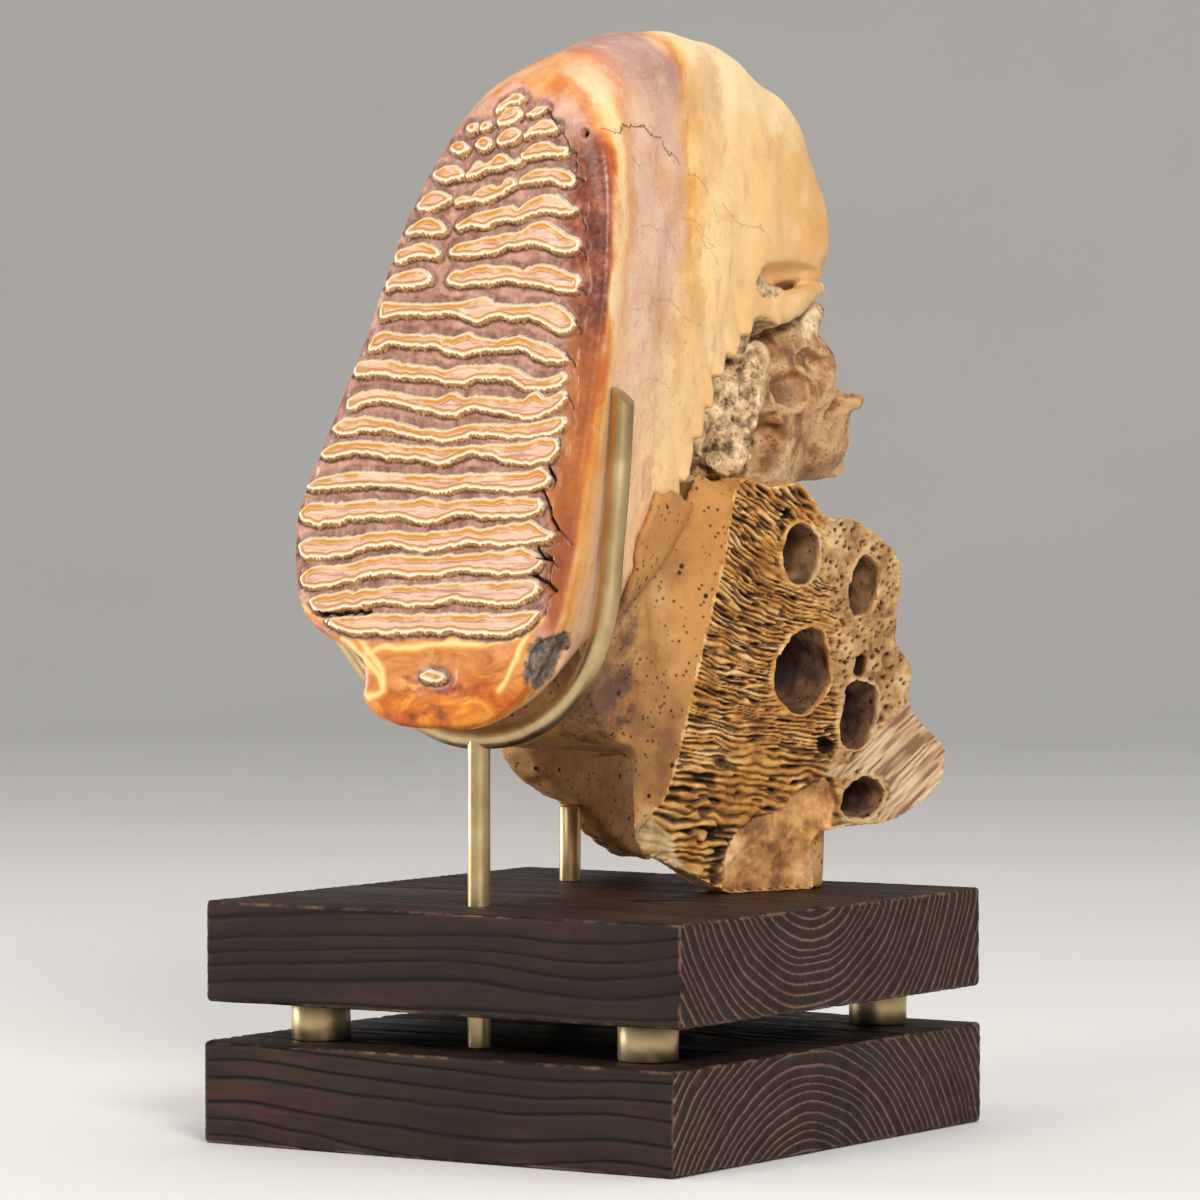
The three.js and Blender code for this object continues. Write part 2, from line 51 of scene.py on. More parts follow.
def look_from_front_right():
    level = math.cos(VIEW_PITCH)
    forward = Vector(
        (-math.sin(VIEW_HEADING) * level, math.cos(VIEW_HEADING) * level, -math.sin(VIEW_PITCH))
    )
    right = Vector((math.cos(VIEW_HEADING), math.sin(VIEW_HEADING), 0))
    up = right.cross(forward)
    data = bpy.data.cameras.new("camera")
    data.sensor_width = SENSOR
    data.lens = LENS
    data.clip_start, data.clip_end = 0.05, 50
    camera = bpy.data.objects.new("camera", data)
    place = right * VIEW_AIM_RIGHT * MM + Vector((0, 0, VIEW_AIM_UP * MM)) - forward * VIEW_DISTANCE * MM
    camera.matrix_world = Matrix.Translation(place) @ Matrix((right, up, -forward)).transposed().to_4x4()
    bpy.context.scene.collection.objects.link(camera)
    bpy.context.scene.camera = camera


def lamp(name, place, target, size, watts, colour=(1, 1, 1)):
    data = bpy.data.lights.new(name, "AREA")
    data.shape = "RECTANGLE"
    data.size = data.size_y = size
    data.energy = watts
    data.color = colour
    ob = bpy.data.objects.new(name, data)
    ob.location = place
    ob.rotation_euler = (Vector(target) - Vector(place)).to_track_quat("-Z", "Y").to_euler()
    ob.visible_camera = False
    bpy.context.scene.collection.objects.link(ob)


def pale_bowl():
    """A pale floor that curves up into a wall far off all round."""
    sides, profile = 96, []
    for r in (0.0, 0.4, 1.0, 2.0, 3.0):
        profile.append((r, 0.0))
    for i in range(1, 13):
        t = i / 12 * math.pi / 2
        profile.append((3.0 + 2.0 * math.sin(t), 2.0 - 2.0 * math.cos(t)))
    profile.append((5.0, 3.2))
    verts, faces = [(0, 0, 0)], []
    for r, z in profile[1:]:
        for k in range(sides):
            a = k / sides * 2 * math.pi
            verts.append((r * math.cos(a), r * math.sin(a), z))
    for k in range(sides):
        faces.append((0, 1 + k, 1 + (k + 1) % sides))
    for i in range(len(profile) - 2):
        for k in range(sides):
            a, b = 1 + i * sides + k, 1 + i * sides + (k + 1) % sides
            faces.append((a, a + sides, b + sides, b))
    mesh = bpy.data.meshes.new("floor")
    mesh.from_pydata(verts, [], faces)
    mesh.shade_smooth()
    ob = bpy.data.objects.new("floor", mesh)
    bpy.context.scene.collection.objects.link(ob)
    return ob


# Numbers


def clamp(x, low=0.0, high=1.0):
    return np.minimum(np.maximum(x, low), high)


def smooth(x, low, high):
    t = clamp((x - low) / (high - low))
    return t * t * (3 - 2 * t)


def soft_max(a, b, blend):
    share = clamp(0.5 + 0.5 * (a - b) / blend)
    return a * share + b * (1 - share) + blend * share * (1 - share)


def soft_min(a, b, blend):
    return -soft_max(-a, -b, blend)


def hash01(ix, iy, iz, seed):
    h = (ix * 374761393 + iy * 668265263 + iz * 1440662683 + seed * 974634777) & 0xFFFFFFFF
    h = ((h ^ (h >> 13)) * 1274126177) & 0xFFFFFFFF
    h = ((h ^ (h >> 16)) * 2246822519) & 0xFFFFFFFF
    return ((h >> 8) & 0xFFFFFF) / float(0xFFFFFF)


def noise(p, size, seed=0):
    """Smooth noise from -1 to 1 at points p (n, 3). size is one number or three."""
    q = np.asarray(p, float) / np.asarray(size, float)
    i = np.floor(q).astype(np.int64)
    f = q - i
    f = f * f * f * (f * (6 * f - 15) + 10)
    out = 0
    for dx in (0, 1):
        wx = f[:, 0] if dx else 1 - f[:, 0]
        for dy in (0, 1):
            wy = f[:, 1] if dy else 1 - f[:, 1]
            for dz in (0, 1):
                wz = f[:, 2] if dz else 1 - f[:, 2]
                out = out + wx * wy * wz * hash01(i[:, 0] + dx, i[:, 1] + dy, i[:, 2] + dz, seed)
    return out * 2 - 1


def fractal(p, size, octaves=4, seed=0, keep=0.5):
    total, weight, norm = 0, 1.0, 0.0
    size = np.asarray(size, float)
    for k in range(octaves):
        total = total + weight * noise(p, size / 2**k, seed + 17 * k)
        norm += weight
        weight *= keep
    return total / norm


def cells(p, size, seed=0):
    """Distance in cells to the nearest of points scattered one to a cell, and that cell's own number."""
    q = np.asarray(p, float) / np.asarray(size, float)
    i = np.floor(q).astype(np.int64)
    best, own = np.full(len(q), 9.0), np.zeros(len(q))
    for dx in (-1, 0, 1):
        for dy in (-1, 0, 1):
            for dz in (-1, 0, 1):
                jx, jy, jz = i[:, 0] + dx, i[:, 1] + dy, i[:, 2] + dz
                px = jx + hash01(jx, jy, jz, seed)
                py = jy + hash01(jx, jy, jz, seed + 1)
                pz = jz + hash01(jx, jy, jz, seed + 2)
                d = np.sqrt((q[:, 0] - px) ** 2 + (q[:, 1] - py) ** 2 + (q[:, 2] - pz) ** 2)
                near = d < best
                best = np.where(near, d, best)
                own = np.where(near, hash01(jx, jy, jz, seed + 3), own)
    return best, own


def line_distance(points, x, y, closed=False):
    """Distance to a line of straight stretches, open or closed."""
    best = np.full(np.shape(x), np.inf)
    pts = np.asarray(points, float)
    for (ax, ay), (bx, by) in zip(pts, np.roll(pts, -1, 0) if closed else pts[1:]):
        ex, ey = bx - ax, by - ay
        t = clamp(((x - ax) * ex + (y - ay) * ey) / (ex * ex + ey * ey + 1e-12))
        best = np.minimum(best, (x - ax - ex * t) ** 2 + (y - ay - ey * t) ** 2)
    return np.sqrt(best)


def outline_distance(outline, x, y):
    """Distance to a closed outline, negative inside."""
    inside = np.zeros(np.shape(x), bool)
    pts = np.asarray(outline, float)
    for (ax, ay), (bx, by) in zip(pts, np.roll(pts, -1, 0)):
        if ay != by:
            inside ^= ((ay > y) != (by > y)) & (x < ax + (y - ay) / (by - ay) * (bx - ax))
    distance = line_distance(outline, x, y, True)
    return np.where(inside, -distance, distance)


def smooth_loop(points, spacing=1.0):
    """A closed line through the points, smoothed."""
    p = np.asarray(points, float)
    n = len(p)
    out = []
    for k in range(n):
        a, b, c, d = p[(k - 1) % n], p[k], p[(k + 1) % n], p[(k + 2) % n]
        steps = max(1, int(round(np.linalg.norm(c - b) / spacing)))
        for t in np.arange(steps) / steps:
            m0, m1 = (c - a) * 0.42, (d - b) * 0.42
            scale = np.linalg.norm(c - b)
            for m in (m0, m1):
                length = np.linalg.norm(m)
                if length > scale:
                    m *= scale / length
            h00, h10 = 2 * t**3 - 3 * t**2 + 1, t**3 - 2 * t**2 + t
            h01, h11 = -2 * t**3 + 3 * t**2, t**3 - t**2
            out.append(h00 * b + h10 * m0 + h01 * c + h11 * m1)
    return np.array(out)


def in_pieces(function, p, size=400000):
    return np.concatenate([function(p[i : i + size]) for i in range(0, len(p), size)])


# From a field to a mesh


def grid_points(low, high, step):
    axes = [np.arange(a, b + step, step) for a, b in zip(low, high)]
    shape = tuple(len(a) for a in axes)
    return np.stack(np.meshgrid(*axes, indexing="ij"), -1).reshape(-1, 3), shape


def surface_nets(values, low, step):
    """The surface where values is 0, as points and quads facing the positive side."""
    inside = values < 0
    corners = [(i, j, k) for i in (0, 1) for j in (0, 1) for k in (0, 1)]
    n = [s - 1 for s in values.shape]

    def corner(a, o):
        return a[o[0] : o[0] + n[0], o[1] : o[1] + n[1], o[2] : o[2] + n[2]]

    count = sum(corner(inside, o).astype(np.int8) for o in corners)
    active = (count > 0) & (count < 8)
    where = np.argwhere(active)
    index = np.full(active.shape, -1, np.int64)
    index[active] = np.arange(len(where))
    total, hits = np.zeros((len(where), 3)), np.zeros(len(where))
    value = {o: corner(values, o)[active] for o in corners}
    for o in corners:
        for axis in range(3):
            if o[axis]:
                continue
            e = list(o)
            e[axis] = 1
            a, b = value[o], value[tuple(e)]
            cross = (a < 0) != (b < 0)
            t = np.where(cross, a / np.where(cross, a - b, 1), 0)
            point = np.tile(np.array(o, float), (len(where), 1))
            point[:, axis] += t
            total += point * cross[:, None]
            hits += cross
    points = np.asarray(low) + (where + total / hits[:, None]) * step
    quads = []
    for axis in range(3):
        a, b = [(1, 2), (2, 0), (0, 1)][axis]
        s = np.moveaxis(inside, (axis, a, b), (0, 1, 2))
        c = np.moveaxis(index, (axis, a, b), (0, 1, 2))
        change = s[:-1, 1:-1, 1:-1] != s[1:, 1:-1, 1:-1]
        i, j, k = np.nonzero(change)
        rising = s[:-1, 1:-1, 1:-1][change]
        q = np.stack([c[i, j + 1, k + 1], c[i, j, k + 1], c[i, j, k], c[i, j + 1, k]], -1)
        q[~rising] = q[~rising][:, ::-1]
        quads.append(q)
    return points, np.concatenate(quads)


def largest_part(points, quads):
    """Drops loose crumbs: keeps the connected part with the most points."""
    label = np.arange(len(points))
    edges = np.concatenate([quads[:, [i, (i + 1) % 4]] for i in range(4)])
    while True:
        low = np.minimum(label[edges[:, 0]], label[edges[:, 1]])
        new = label.copy()
        np.minimum.at(new, edges[:, 0], low)
        np.minimum.at(new, edges[:, 1], low)
        new = new[new]
        new = new[new]
        if (new == label).all():
            break
        label = new
    main = np.bincount(label).argmax()
    keep = label == main
    number = np.cumsum(keep) - 1
    faces = quads[keep[quads].all(1)]
    return points[keep], number[faces]


def slope(field, p, reach=0.2):
    out = np.zeros_like(p)
    for axis in range(3):
        d = np.zeros(3)
        d[axis] = reach
        out[:, axis] = (field(p + d) - field(p - d)) / (2 * reach)
    return out


def settle(points, field, rounds=3, most=0.8, reach=0.2):
    """Moves points onto the surface where field is 0."""
    for _ in range(rounds):
        g = slope(field, points, reach)
        size = np.sum(g * g, 1)
        step = field(points) / np.maximum(size, 0.25)
        move = -g * step[:, None]
        length = np.linalg.norm(move, axis=1)
        move *= np.minimum(1, most / np.maximum(length, 1e-9))[:, None]
        points = points + move
    return points


def normals_of(points, quads):
    a, b, c, d = (points[quads[:, i]] for i in range(4))
    face = np.cross(c - a, d - b)
    out = np.zeros_like(points)
    for i in range(4):
        for axis in range(3):
            out[:, axis] += np.bincount(quads[:, i], face[:, axis], len(points))
    return out / np.maximum(np.linalg.norm(out, axis=1), 1e-12)[:, None]


def keys(points, per_mm):
    """One whole number for each place, the same for points that coincide."""
    key = np.round(points * per_mm).astype(np.int64)
    key -= key.min(0)
    span = key.max(0) + 1
    return (key[:, 0] * span[1] + key[:, 1]) * span[2] + key[:, 2]


def split_quads(points, quads, chosen, parts):
    """Divides the chosen quads into parts x parts smaller ones. Their edges stay where they were."""
    t = np.arange(parts + 1) / parts
    s, r = np.meshgrid(t, t, indexing="ij")
    s, r = s.ravel(), r.ravel()
    corner = points[quads[chosen]]
    weights = np.stack([(1 - s) * (1 - r), s * (1 - r), s * r, (1 - s) * r], -1)
    made = np.einsum("kc,ncd->nkd", weights, corner).reshape(-1, 3)
    _, first, inverse = np.unique(keys(made, 2000), return_index=True, return_inverse=True)
    side = parts + 1
    block = []
    for i in range(parts):
        for j in range(parts):
            block.append([i * side + j, (i + 1) * side + j, (i + 1) * side + j + 1, i * side + j + 1])
    block = np.array(block)
    ids = inverse.reshape(len(corner), -1)
    small = ids[:, block].reshape(-1, 4)
    return made[first], small


def surface_of(field, low, high, step, rounds, most):
    """The largest closed surface on which field is 0, as points settled onto it and quads."""
    low = np.array(low, float)
    grid, shape = grid_points(low, high, step)
    points, quads = surface_nets(in_pieces(field, grid).reshape(shape), low, step)
    points, quads = largest_part(points, quads)
    return settle(points, field, rounds, most), quads


def joined_normals(points, quads, places):
    """Normals at places, where points that coincide count as one, so that no line shows where parts meet."""
    _, first, same = np.unique(keys(points, 500), return_index=True, return_inverse=True)
    return normals_of(places[first], same[quads])[same]


def rim_points(quads, count):
    """Points on the open edge of a set of quads."""
    edges = np.concatenate([quads[:, [i, (i + 1) % 4]] for i in range(4)])
    ordered = np.sort(edges, 1)
    key = ordered[:, 0] * count + ordered[:, 1]
    _, inverse, times = np.unique(key, return_inverse=True, return_counts=True)
    on = np.zeros(count, bool)
    on[ordered[times[inverse] == 1].ravel()] = True
    return on


def make_piece(name, points, quads, material, marks=None, normals=None, replaces=()):
    """points in millimetres."""
    used = np.zeros(len(points), bool)
    used[quads.ravel()] = True
    number = np.cumsum(used) - 1
    points, quads = points[used], number[quads]
    mesh = bpy.data.meshes.new(name)
    mesh.vertices.add(len(points))
    mesh.vertices.foreach_set("co", (points * MM).astype(np.float32).ravel())
    mesh.loops.add(quads.size)
    mesh.loops.foreach_set("vertex_index", quads.astype(np.int32).ravel())
    mesh.polygons.add(len(quads))
    mesh.polygons.foreach_set("loop_start", (np.arange(len(quads)) * quads.shape[1]).astype(np.int32))
    mesh.update(calc_edges=True)
    mesh.shade_smooth()
    for key, value in (marks or {}).items():
        attribute = mesh.attributes.new(key, "FLOAT", "POINT")
        attribute.data.foreach_set("value", np.asarray(value, np.float32)[used])
    if normals is not None:
        free = mesh.attributes.new("custom_normal", "FLOAT_VECTOR", "POINT")
        free.data.foreach_set("vector", normals[used].astype(np.float32).ravel())
    mesh.materials.append(material)
    ob = bpy.data.objects.new(name, mesh)
    bpy.context.scene.collection.objects.link(ob)
    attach(ob, "root")
    if replaces:
        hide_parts(*replaces)
    return ob


# Materials


def rgb(code):
    """A colour written as RRGGBB, made linear."""
    parts = [int(code[i : i + 2], 16) / 255 for i in (0, 2, 4)]
    return tuple(c / 12.92 if c <= 0.04045 else ((c + 0.055) / 1.055) ** 2.4 for c in parts) + (1.0,)


class Finish:
    """A node material being put together."""

    def __init__(self, name, **settings):
        self.material = bpy.data.materials.new(name)
        self.material.use_nodes = True
        self.nodes, self.links = self.material.node_tree.nodes, self.material.node_tree.links
        self.nodes.clear()
        self.shader = self.nodes.new("ShaderNodeBsdfPrincipled")
        out = self.nodes.new("ShaderNodeOutputMaterial")
        self.links.new(self.shader.outputs[0], out.inputs[0])
        for key, value in settings.items():
            self.shader.inputs[key.replace("_", " ")].default_value = value
        self.place = self.nodes.new("ShaderNodeTexCoord").outputs["Object"]

    def put(self, socket, value):
        if isinstance(value, bpy.types.NodeSocket):
            self.links.new(value, socket)
        elif value is not None:
            socket.default_value = value

    def mark(self, name):
        node = self.nodes.new("ShaderNodeAttribute")
        node.attribute_name = name
        return node.outputs["Fac"]

    def stretch(self, scale, turn=(0, 0, 0), vector=None):
        node = self.nodes.new("ShaderNodeMapping")
        self.put(node.inputs["Vector"], vector or self.place)
        node.inputs["Scale"].default_value = scale
        node.inputs["Rotation"].default_value = turn
        return node.outputs[0]

    def noise(self, scale, detail=4.0, rough=0.55, vector=None, distortion=0.0):
        """Noise with features of about 1000 / scale millimetres."""
        node = self.nodes.new("ShaderNodeTexNoise")
        self.put(node.inputs["Vector"], vector or self.place)
        node.inputs["Scale"].default_value = scale
        node.inputs["Detail"].default_value = detail
        node.inputs["Roughness"].default_value = rough
        node.inputs["Distortion"].default_value = distortion
        return node.outputs["Fac"]

    def noise_colour(self, scale):
        node = self.nodes.new("ShaderNodeTexNoise")
        self.put(node.inputs["Vector"], self.place)
        node.inputs["Scale"].default_value = scale
        return node.outputs["Color"]

    def voronoi(self, scale, feature="F1", vector=None, random=1.0):
        node = self.nodes.new("ShaderNodeTexVoronoi")
        node.feature = feature
        self.put(node.inputs["Vector"], vector or self.place)
        node.inputs["Scale"].default_value = scale
        node.inputs["Randomness"].default_value = random
        return node.outputs["Distance"]

    def math(self, kind, a, b=None, c=None, clamped=False):
        node = self.nodes.new("ShaderNodeMath")
        node.operation = kind
        node.use_clamp = clamped
        for socket, value in zip(node.inputs, (a, b, c)):
            self.put(socket, value)
        return node.outputs[0]

    def plus(self, a, b):
        return self.math("ADD", a, b)

    def times(self, a, b):
        return self.math("MULTIPLY", a, b)

    def ranged(self, value, low, high, to_low=0.0, to_high=1.0, curved=True):
        node = self.nodes.new("ShaderNodeMapRange")
        node.interpolation_type = "SMOOTHSTEP" if curved else "LINEAR"
        names = "Value", "From Min", "From Max", "To Min", "To Max"
        for name, setting in zip(names, (value, low, high, to_low, to_high)):
            self.put(node.inputs[name], setting)
        return node.outputs[0]

    def shift(self, value, noise, by):
        """The value, moved up and down by as much as a noise says."""
        return self.plus(value, self.ranged(noise, 0.3, 0.7, -by, by, False))

    def blend(self, a, b, share=0.6):
        """A share of one number and the rest of another."""
        return self.plus(self.times(a, share), self.times(b, 1 - share))

    def curve(self, value, stops):
        """A number read off a curve through stops of (value, number)."""
        low, high = stops[0][0], stops[-1][0]
        least, most = min(y for _, y in stops) - 1, max(y for _, y in stops) + 1
        node = self.nodes.new("ShaderNodeFloatCurve")
        self.put(node.inputs["Value"], self.ranged(value, low, high, curved=False))
        points = node.mapping.curves[0].points
        for k, (x, y) in enumerate(stops):
            at = ((x - low) / (high - low), (y - least) / (most - least))
            if k == 0:
                points[0].location = at
            elif k == len(stops) - 1:
                points[len(points) - 1].location = at
            else:
                points.new(*at)
        node.mapping.update()
        return self.ranged(node.outputs[0], 0.0, 1.0, least, most, curved=False)

    def ramp(self, value, stops, low=0.0, high=1.0):
        """Colour by value. stops are (value, colour code)."""
        if (low, high) != (0.0, 1.0):
            value = self.ranged(value, low, high, curved=False)
        node = self.nodes.new("ShaderNodeValToRGB")
        self.put(node.inputs[0], value)
        points = node.color_ramp.elements
        points.remove(points[1])
        for k, (at, code) in enumerate(stops):
            at = (at - low) / (high - low)
            point = points.new(at) if k else points[0]
            point.position = at
            point.color = rgb(code)
        return node.outputs[0]

    def mix(self, share, a, b, kind="MIX"):
        node = self.nodes.new("ShaderNodeMix")
        node.data_type = "RGBA"
        node.blend_type = kind
        node.clamp_factor = True
        self.put(node.inputs["Factor"], share)
        for socket, value in zip([s for s in node.inputs if s.type == "RGBA"], (a, b)):
            self.put(socket, rgb(value) if isinstance(value, str) else value)
        return [s for s in node.outputs if s.type == "RGBA"][0]

    def bump(self, height, strength, distance, under=None):
        node = self.nodes.new("ShaderNodeBump")
        node.inputs["Strength"].default_value = strength
        node.inputs["Distance"].default_value = distance * MM
        self.put(node.inputs["Height"], height)
        self.put(node.inputs["Normal"], under)
        return node.outputs[0]

    def done(self, colour=None, rough=None, normal=None, metal=None):
        self.put(self.shader.inputs["Base Color"], rgb(colour) if isinstance(colour, str) else colour)
        self.put(self.shader.inputs["Roughness"], rough)
        if normal is not None:
            self.put(self.shader.inputs["Normal"], normal)
        if metal is not None:
            self.put(self.shader.inputs["Metallic"], metal)
        return self.material


# Tooth: crown

# Tooth frame: u to the right, v up along the grinding face, w into the tooth
FOOT = np.array([0.0, -97.0, 148.0])
LEAN = math.radians(6)
AXES = np.array([[1, 0, 0], [0, math.sin(LEAN), math.cos(LEAN)], [0, math.cos(LEAN), -math.sin(LEAN)]])


def to_tooth(p):
    return (p - FOOT) @ AXES.T


def from_tooth(t):
    return t @ AXES + FOOT


FACE_OUTLINE = [
    (-8, -2), (10, -1), (24, 7), (33, 16), (40, 28), (45, 42), (49, 61), (51, 80), (53, 100), (56, 133),
    (57.5, 152), (57.5, 168), (56.5, 186), (54, 204), (49, 219), (41, 228.5), (31, 234.5), (18, 236),
    (4, 232), (-9, 225.5), (-22, 213), (-32.3, 196), (-39.3, 178), (-43, 160), (-47.8, 137), (-60, 106.5),
    (-71.5, 77.5), (-72, 66), (-71.3, 54), (-68.4, 43.5), (-63, 36), (-55.5, 31.2), (-46, 26.8),
    (-39.8, 23.3), (-38.8, 17), (-39, 11), (-34, 4.5), (-22, -1)
]
SIDE_PROFILE = [
    (-12, -3), (12, -3), (22, 6), (34, 27), (55, 50), (70, 64), (88, 88), (97, 108), (108, 130), (124, 144),
    (144, 157), (158, 166), (165, 175), (169, 189), (168, 206), (161, 221), (150, 233), (136, 243),
    (120, 250.5), (104, 259), (88, 260.8), (60, 258), (30, 254), (-12, 244)
]


class Table:
    """Distances to an outline, worked out once on a fine grid and read between its points."""

    def __init__(self, outline, low, high, step=0.5):
        self.low, self.step = low, step
        x, y = (np.arange(a, b + step, step) for a, b in zip(low, high))
        self.values = outline_distance(outline, *np.meshgrid(x, y, indexing="ij"))

    def __call__(self, x, y):
        i = clamp((x - self.low[0]) / self.step, 0, self.values.shape[0] - 1.001)
        j = clamp((y - self.low[1]) / self.step, 0, self.values.shape[1] - 1.001)
        a, b = i.astype(int), j.astype(int)
        f, g = i - a, j - b
        t = self.values
        low = t[a, b] * (1 - f) + t[a + 1, b] * f
        high = t[a, b + 1] * (1 - f) + t[a + 1, b + 1] * f
        return low * (1 - g) + high * g


face_table = Table(smooth_loop(FACE_OUTLINE, 2), (-90, -60), (80, 290))
side_table = Table(smooth_loop(SIDE_PROFILE, 3), (-30, -30), (200, 290))


def chain(p, points):
    """Distance to a string of balls of changing size, joined up. points are (x, y, z, radius)."""
    best = np.full(len(p), 1e9)
    for a, b in zip(points[:-1], points[1:]):
        start, end = np.array(a[:3], float), np.array(b[:3], float)
        e = end - start
        t = clamp(((p - start) @ e) / (e @ e))
        best = np.minimum(
            best, np.linalg.norm(p - start - t[:, None] * e, axis=1) - (a[3] + t * (b[3] - a[3]))
        )
    return best


HORN = [
    (38, 32, 300, 9.5), (41.5, 44, 298.3, 7.4), (43, 55, 297.2, 6.0), (42, 65, 298.9, 5.2),
    (40, 75, 301.6, 4.4), (38, 84, 304, 3.5), (36.5, 92, 305.2, 2.4), (35.5, 97.5, 303.8, 1.0)
]
HORN_RECESS, UPPER_RECESS = (51, 71, 296, 22, 24, 13), (50, 58, 308.5, 11, 23, 5.5)
# Grey matrix stuck in a hollow low on the right, and the dark gap under it, in the tooth frame
MATRIX = (41, 24, 9, 12, 12, 13)
MATRIX_GAP = (40, 12.5, 10, 7, 2.4, 9)


# Where the crown's right flank ends over the roots, as (depth, height), closed round the part past it
FLANK_END = [
    (160, 172), (156, 169), (146, 164), (137, 158.5), (125, 157.5), (113, 157), (109, 150), (103, 144),
    (95, 138), (90.5, 131), (88.5, 125), (86, 118), (84, 111), (80, 104), (78, 96), (78, 60), (100, 60),
    (142, 110), (170, 150)
]
POCKET = (46, 39, 304.5, 5, 8, 4.5)


def lump_distance(p, place, power=2.0):
    """Distance to a rounded lump with flattened sides, close to right near its surface."""
    centre, size = np.array(place[:3], float), np.array(place[3:6], float)
    q = np.abs((p - centre) / size) + 1e-9
    g = np.sum(q**power, 1) ** (1 / power)
    steep = np.sqrt(np.sum((q ** (power - 1) / g[:, None] ** (power - 1) / size) ** 2, 1))
    return (g - 1) / steep


def crown_plain(t):
    u, v, w = t.T
    narrowing = 12 * (1 - np.exp(-np.maximum(w, 0) / 45))
    rise = 34 * smooth(w, -10, 80) * smooth(v, 120, 240)
    front = face_table(u, v - rise) + narrowing
    side = side_table(w, v)
    rounding = 7 + 20 * smooth(v - 0.5 * u, 150, 225)
    return soft_max(soft_max(front, side, 14), -w, rounding)


def past_flank(t):
    """Signed distance past the scalloped end of the right flank, with the rounded fingers it is made of."""
    end = outline_distance(FLANK_END, t[:, 2], t[:, 1])
    along = 0.77 * t[:, 1] + 0.64 * t[:, 2]
    part = (
        (along - 0.2 * end) / 13.5 + 0.34 * noise(t * [0, 1, 1], (9, 22, 22), 19) + 0.05 * noise(t, 5, 21)
    )
    part = part - np.floor(part)
    finger = np.minimum(part / 0.22, (1 - part) / 0.78) ** 0.75
    return end + 3.2 * (finger - 0.6) + 0.5 * noise(t, 4, 22), finger


def crown_field(t):
    """The crown with the swellings of its flanks, the fingers along its lower back edge and the horn."""
    d = crown_plain(t)
    near = np.abs(d) < 9
    q = t[near]
    back = smooth(q[:, 2], 14, 45)
    swell = 1.7 * back * fractal(q, (40, 24, 17), 2, 5)
    past, finger = past_flank(q)
    right = smooth(q[:, 0], 24, 34)
    reach = np.exp(-np.maximum(past, 0) / 9) * right * (0.8 + 0.6 * noise(q, 13, 24))
    d[near] -= swell + reach * (2.0 * finger - 2.2 * (1 - finger) ** 2.5)
    d[near] += right * smooth(-past, -0.7, 0.9) * (4.6 + 1.2 * fractal(q, (5, 5, 5), 3, 23))
    matrix = lump_distance(q, MATRIX, 2.2)
    d[near] += smooth(-matrix, 0, 2) * (2.0 + 1.1 * fractal(q, 3.6, 2, 13))
    d[near] = np.maximum(d[near], -lump_distance(q, MATRIX_GAP, 2))
    world = from_tooth(t)
    d = soft_max(d, -lump_distance(world, HORN_RECESS, 2.3), 2)
    d = soft_max(d, -lump_distance(world, UPPER_RECESS, 2.3), 2)
    return soft_min(d, chain(world, HORN), 3)


